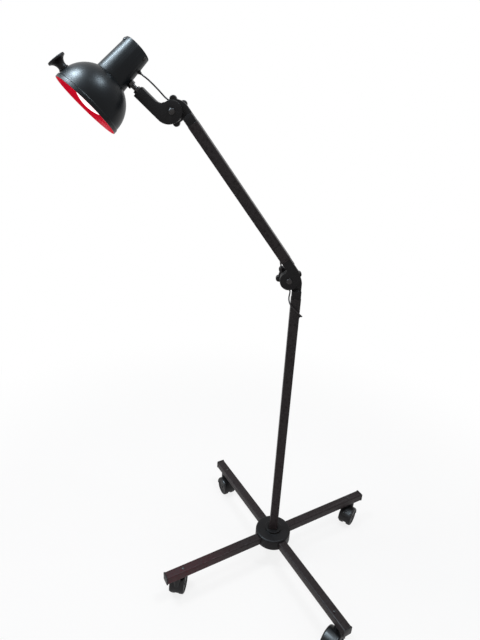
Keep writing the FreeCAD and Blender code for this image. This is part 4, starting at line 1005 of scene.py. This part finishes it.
def makeHead():
    axis = headAxis()
    makeReflector(axis)
    dressed("can_shell", "can", finishes["shade"], headLook["shellEdge"])
    dressed("can_cap", "canCap", finishes["shade"], headLook["shellEdge"])
    makeScrews("capScrews", ["cap_screws"])
    dressed("head_nipple", "headNipple", width=headLook["nippleEdge"])
    dressed("nipple_nuts", "nippleNuts", width=headLook["nutEdge"])
    dressed("handle_knob", "handleKnob", width=headLook["handleEdge"])
    dressed("lead_gland", "leadGland")
    makeThread()
    makeGlandRibs()
    dressed("lampholder_body", "lampholder", width=headLook["holderEdge"])
    dressed("holder_shell", "holderShell")
    dressed("holder_bracket", "holderStrap", width=headLook["strapEdge"])
    dressed("bulb_cap", "bulbCap")
    makeBulb(axis)


# leads between the bushes, the clip and the gland: ends name the bodies at the first and the last of the points,
# which are in metres, and still names a point counted from the end
leadLook = {"radius": 1.8 * mm, "sides": 4, "steps": 8, "order": 3, "smooth": 60}
leads = {
    "upperLead": {
        "node": "head_lead_upper", "ends": ("head", "link"), "length": 0.1005, "still": -3,
        "points": [
            (-0.2575, 0.0181, 1.3756), (-0.2504, 0.0183, 1.3701), (-0.2424, 0.0188, 1.3655),
            (-0.2204, 0.0223, 1.346), (-0.1999, 0.024, 1.3245), (-0.1832, 0.0243, 1.323),
            (-0.1771, 0.0243, 1.3195)]},
    "lowerLead": {
        "node": "head_lead_lower", "ends": ("link", "arm"), "length": 0.0866, "still": -2,
        "points": [
            (-0.1771, 0.0243, 1.3195), (-0.1702, 0.0243, 1.3155), (-0.1564, 0.0253, 1.3005),
            (-0.1434, 0.0263, 1.2825), (-0.1326, 0.0288, 1.2695), (-0.1256, 0.0273, 1.2595),
            (-0.1256, 0.0193, 1.2595)]},
    "elbowLead": {
        "node": "elbow_lead", "ends": ("arm", "base"), "length": 0.2179, "still": -2,
        "points": [
            (0.0717, 0.0193, 1.0032), (0.0717, 0.0273, 1.0032), (0.0728, 0.0263, 0.9882),
            (0.0748, 0.0256, 0.9732), (0.0778, 0.025, 0.9592), (0.0803, 0.0248, 0.9432),
            (0.0823, 0.0248, 0.9292), (0.0893, 0.0248, 0.9162), (0.1008, 0.0248, 0.9072),
            (0.1058, 0.0223, 0.8972), (0.1028, 0.0128, 0.8882), (0.1026, 0.0018, 0.8812),
            (0.1068, -0.0077, 0.8732), (0.1168, -0.0092, 0.8632), (0.1278, -0.009, 0.8532),
            (0.1366, -0.0082, 0.8449), (0.1391, -0.0017, 0.8414), (0.1366, 0.0028, 0.8394),
            (0.1316, 0.0028, 0.8394)]},
}


def routeMesh(name, points, radius):
    curve = bpy.data.curves.new(name, "CURVE")
    curve.dimensions = "3D"
    curve.resolution_u = leadLook["steps"]
    curve.bevel_depth = radius
    curve.bevel_resolution = leadLook["sides"]
    curve.use_fill_caps = radius > 0
    spline = curve.splines.new("NURBS")
    spline.points.add(len(points) - 1)
    for point, place in zip(spline.points, points):
        point.co = (*place, 1.0)
    spline.order_u = leadLook["order"]
    spline.use_endpoint_u = True
    route = linked(name + "Route", curve)
    mesh = evaluatedMesh(route)
    bpy.data.objects.remove(route)
    return mesh


def makeLead(name, node, ends, length, still, points):
    path = [corner.co.copy() for corner in routeMesh(name, points, 0.0).vertices]
    mesh = routeMesh(name, points, leadLook["radius"])
    mesh.name = name
    shaded(mesh, leadLook["smooth"], finishes["lead"])
    piece = linked(name, mesh)
    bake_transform(piece)
    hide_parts(node)


def makeLeads():
    for name, lead in leads.items():
        makeLead(name, **lead)


makeBase()
print("base made")
makeCasters()
print("casters made")
makeArm()
print("arm made")
makeHead()
print("head made")
makeLeads()
print("leads made")


# studio
studio = {
    "floorSize": 30.0, "floorColour": (0.96, 0.93, 0.925), "floorGlow": 0.82, "clear": (0.7, 1.6),
    "ambient": 0.5, "cool": (0.93, 0.97, 1.0), "shine": (0.72, 0.88, 1.0), "panelReach": 1.9,
}
# away is the way from the head, and a shine panel is only seen in reflections
lampPanels = [
    {"name": "leftPanel", "away": (-0.52, -0.05, 0.85), "size": 0.55, "power": 26.0,
     "shine": False},
    {"name": "rightPanel", "away": (0.54, -0.08, 0.84), "size": 0.55, "power": 20.0,
     "shine": False},
    {"name": "leftShine", "away": (-0.46, -0.04, 0.89), "size": 0.56, "power": 115.0,
     "shine": True},
    {"name": "rightShine", "away": (0.53, -0.09, 0.84), "size": 0.44, "power": 52.0,
     "shine": True},
    {"name": "leftWash", "away": (-0.74, -0.25, 0.63), "size": 1.5, "power": 120.0,
     "shine": True},
]
white = (1.0, 1.0, 1.0, 1.0)


def backgroundRay(make):
    # camera, mirror and see-through rays get the white backdrop, the lighting rays don't
    rays = make.make("ShaderNodeLightPath", {}, {}, None)
    names = ("Is Camera Ray", "Is Glossy Ray", "Is Transmission Ray")
    camera, glossy, clear = [Wire(make, rays.outputs[name]) for name in names]
    return make.maths("MINIMUM", camera + glossy + clear, 1.0)


def makeWorld():
    world = bpy.data.worlds.new("studio")
    world.use_nodes = True
    scene.world = world
    make = NodeTree(world.node_tree)
    make.tree.nodes.clear()
    lit = make.make("ShaderNodeBackground", {}, {
        "Color": (*studio["cool"], 1.0), "Strength": studio["ambient"]})
    seen = make.make("ShaderNodeBackground", {}, {"Color": white, "Strength": 1.0})
    mixed = make.make("ShaderNodeMixShader", {}, {0: backgroundRay(make), 1: lit, 2: seen})
    make.make("ShaderNodeOutputWorld", {}, {"Surface": mixed}, None)


def floorMaterial():
    # pale paper near the lamp that turns into the white backdrop
    make = Finish("floorPaper")
    matt = make.make("ShaderNodeBsdfDiffuse", {}, {"Color": (*studio["floorColour"], 1.0)})
    bright = make.make("ShaderNodeEmission", {}, {"Color": white, "Strength": 1.0})
    far = make.vectorMaths("LENGTH", make.place, output="Value")
    share = make.between(far, *studio["clear"], studio["floorGlow"], 1.0) * backgroundRay(make)
    mixed = make.make("ShaderNodeMixShader", {}, {0: share, 1: matt, 2: bright})
    make.make("ShaderNodeOutputMaterial", {}, {"Surface": mixed}, None)
    return make.material


def makePanel(panel):
    light = bpy.data.lights.new(panel["name"], "AREA")
    light.size = panel["size"]
    light.energy = panel["power"]
    light.color = studio["shine"] if panel["shine"] else studio["cool"]
    item = linked(panel["name"], light)
    away = Vector(panel["away"]).normalized()
    item.location = headAt + away * studio["panelReach"]
    item.visible_camera = False
    item.visible_diffuse = not panel["shine"]
    item.visible_glossy = panel["shine"]
    item.rotation_mode = "QUATERNION"
    item.rotation_quaternion = away.to_track_quat("Z", "Y")


def makeStudio():
    half = studio["floorSize"] / 2
    mesh = bpy.data.meshes.new("floor")
    corners = [(-half, -half, 0), (half, -half, 0), (half, half, 0), (-half, half, 0)]
    mesh.from_pydata(corners, [], [(0, 1, 2, 3)])
    mesh.materials.append(floorMaterial())
    linked("floor", mesh)
    for panel in lampPanels:
        makePanel(panel)
    makeWorld()


makeStudio()
print("studio made")
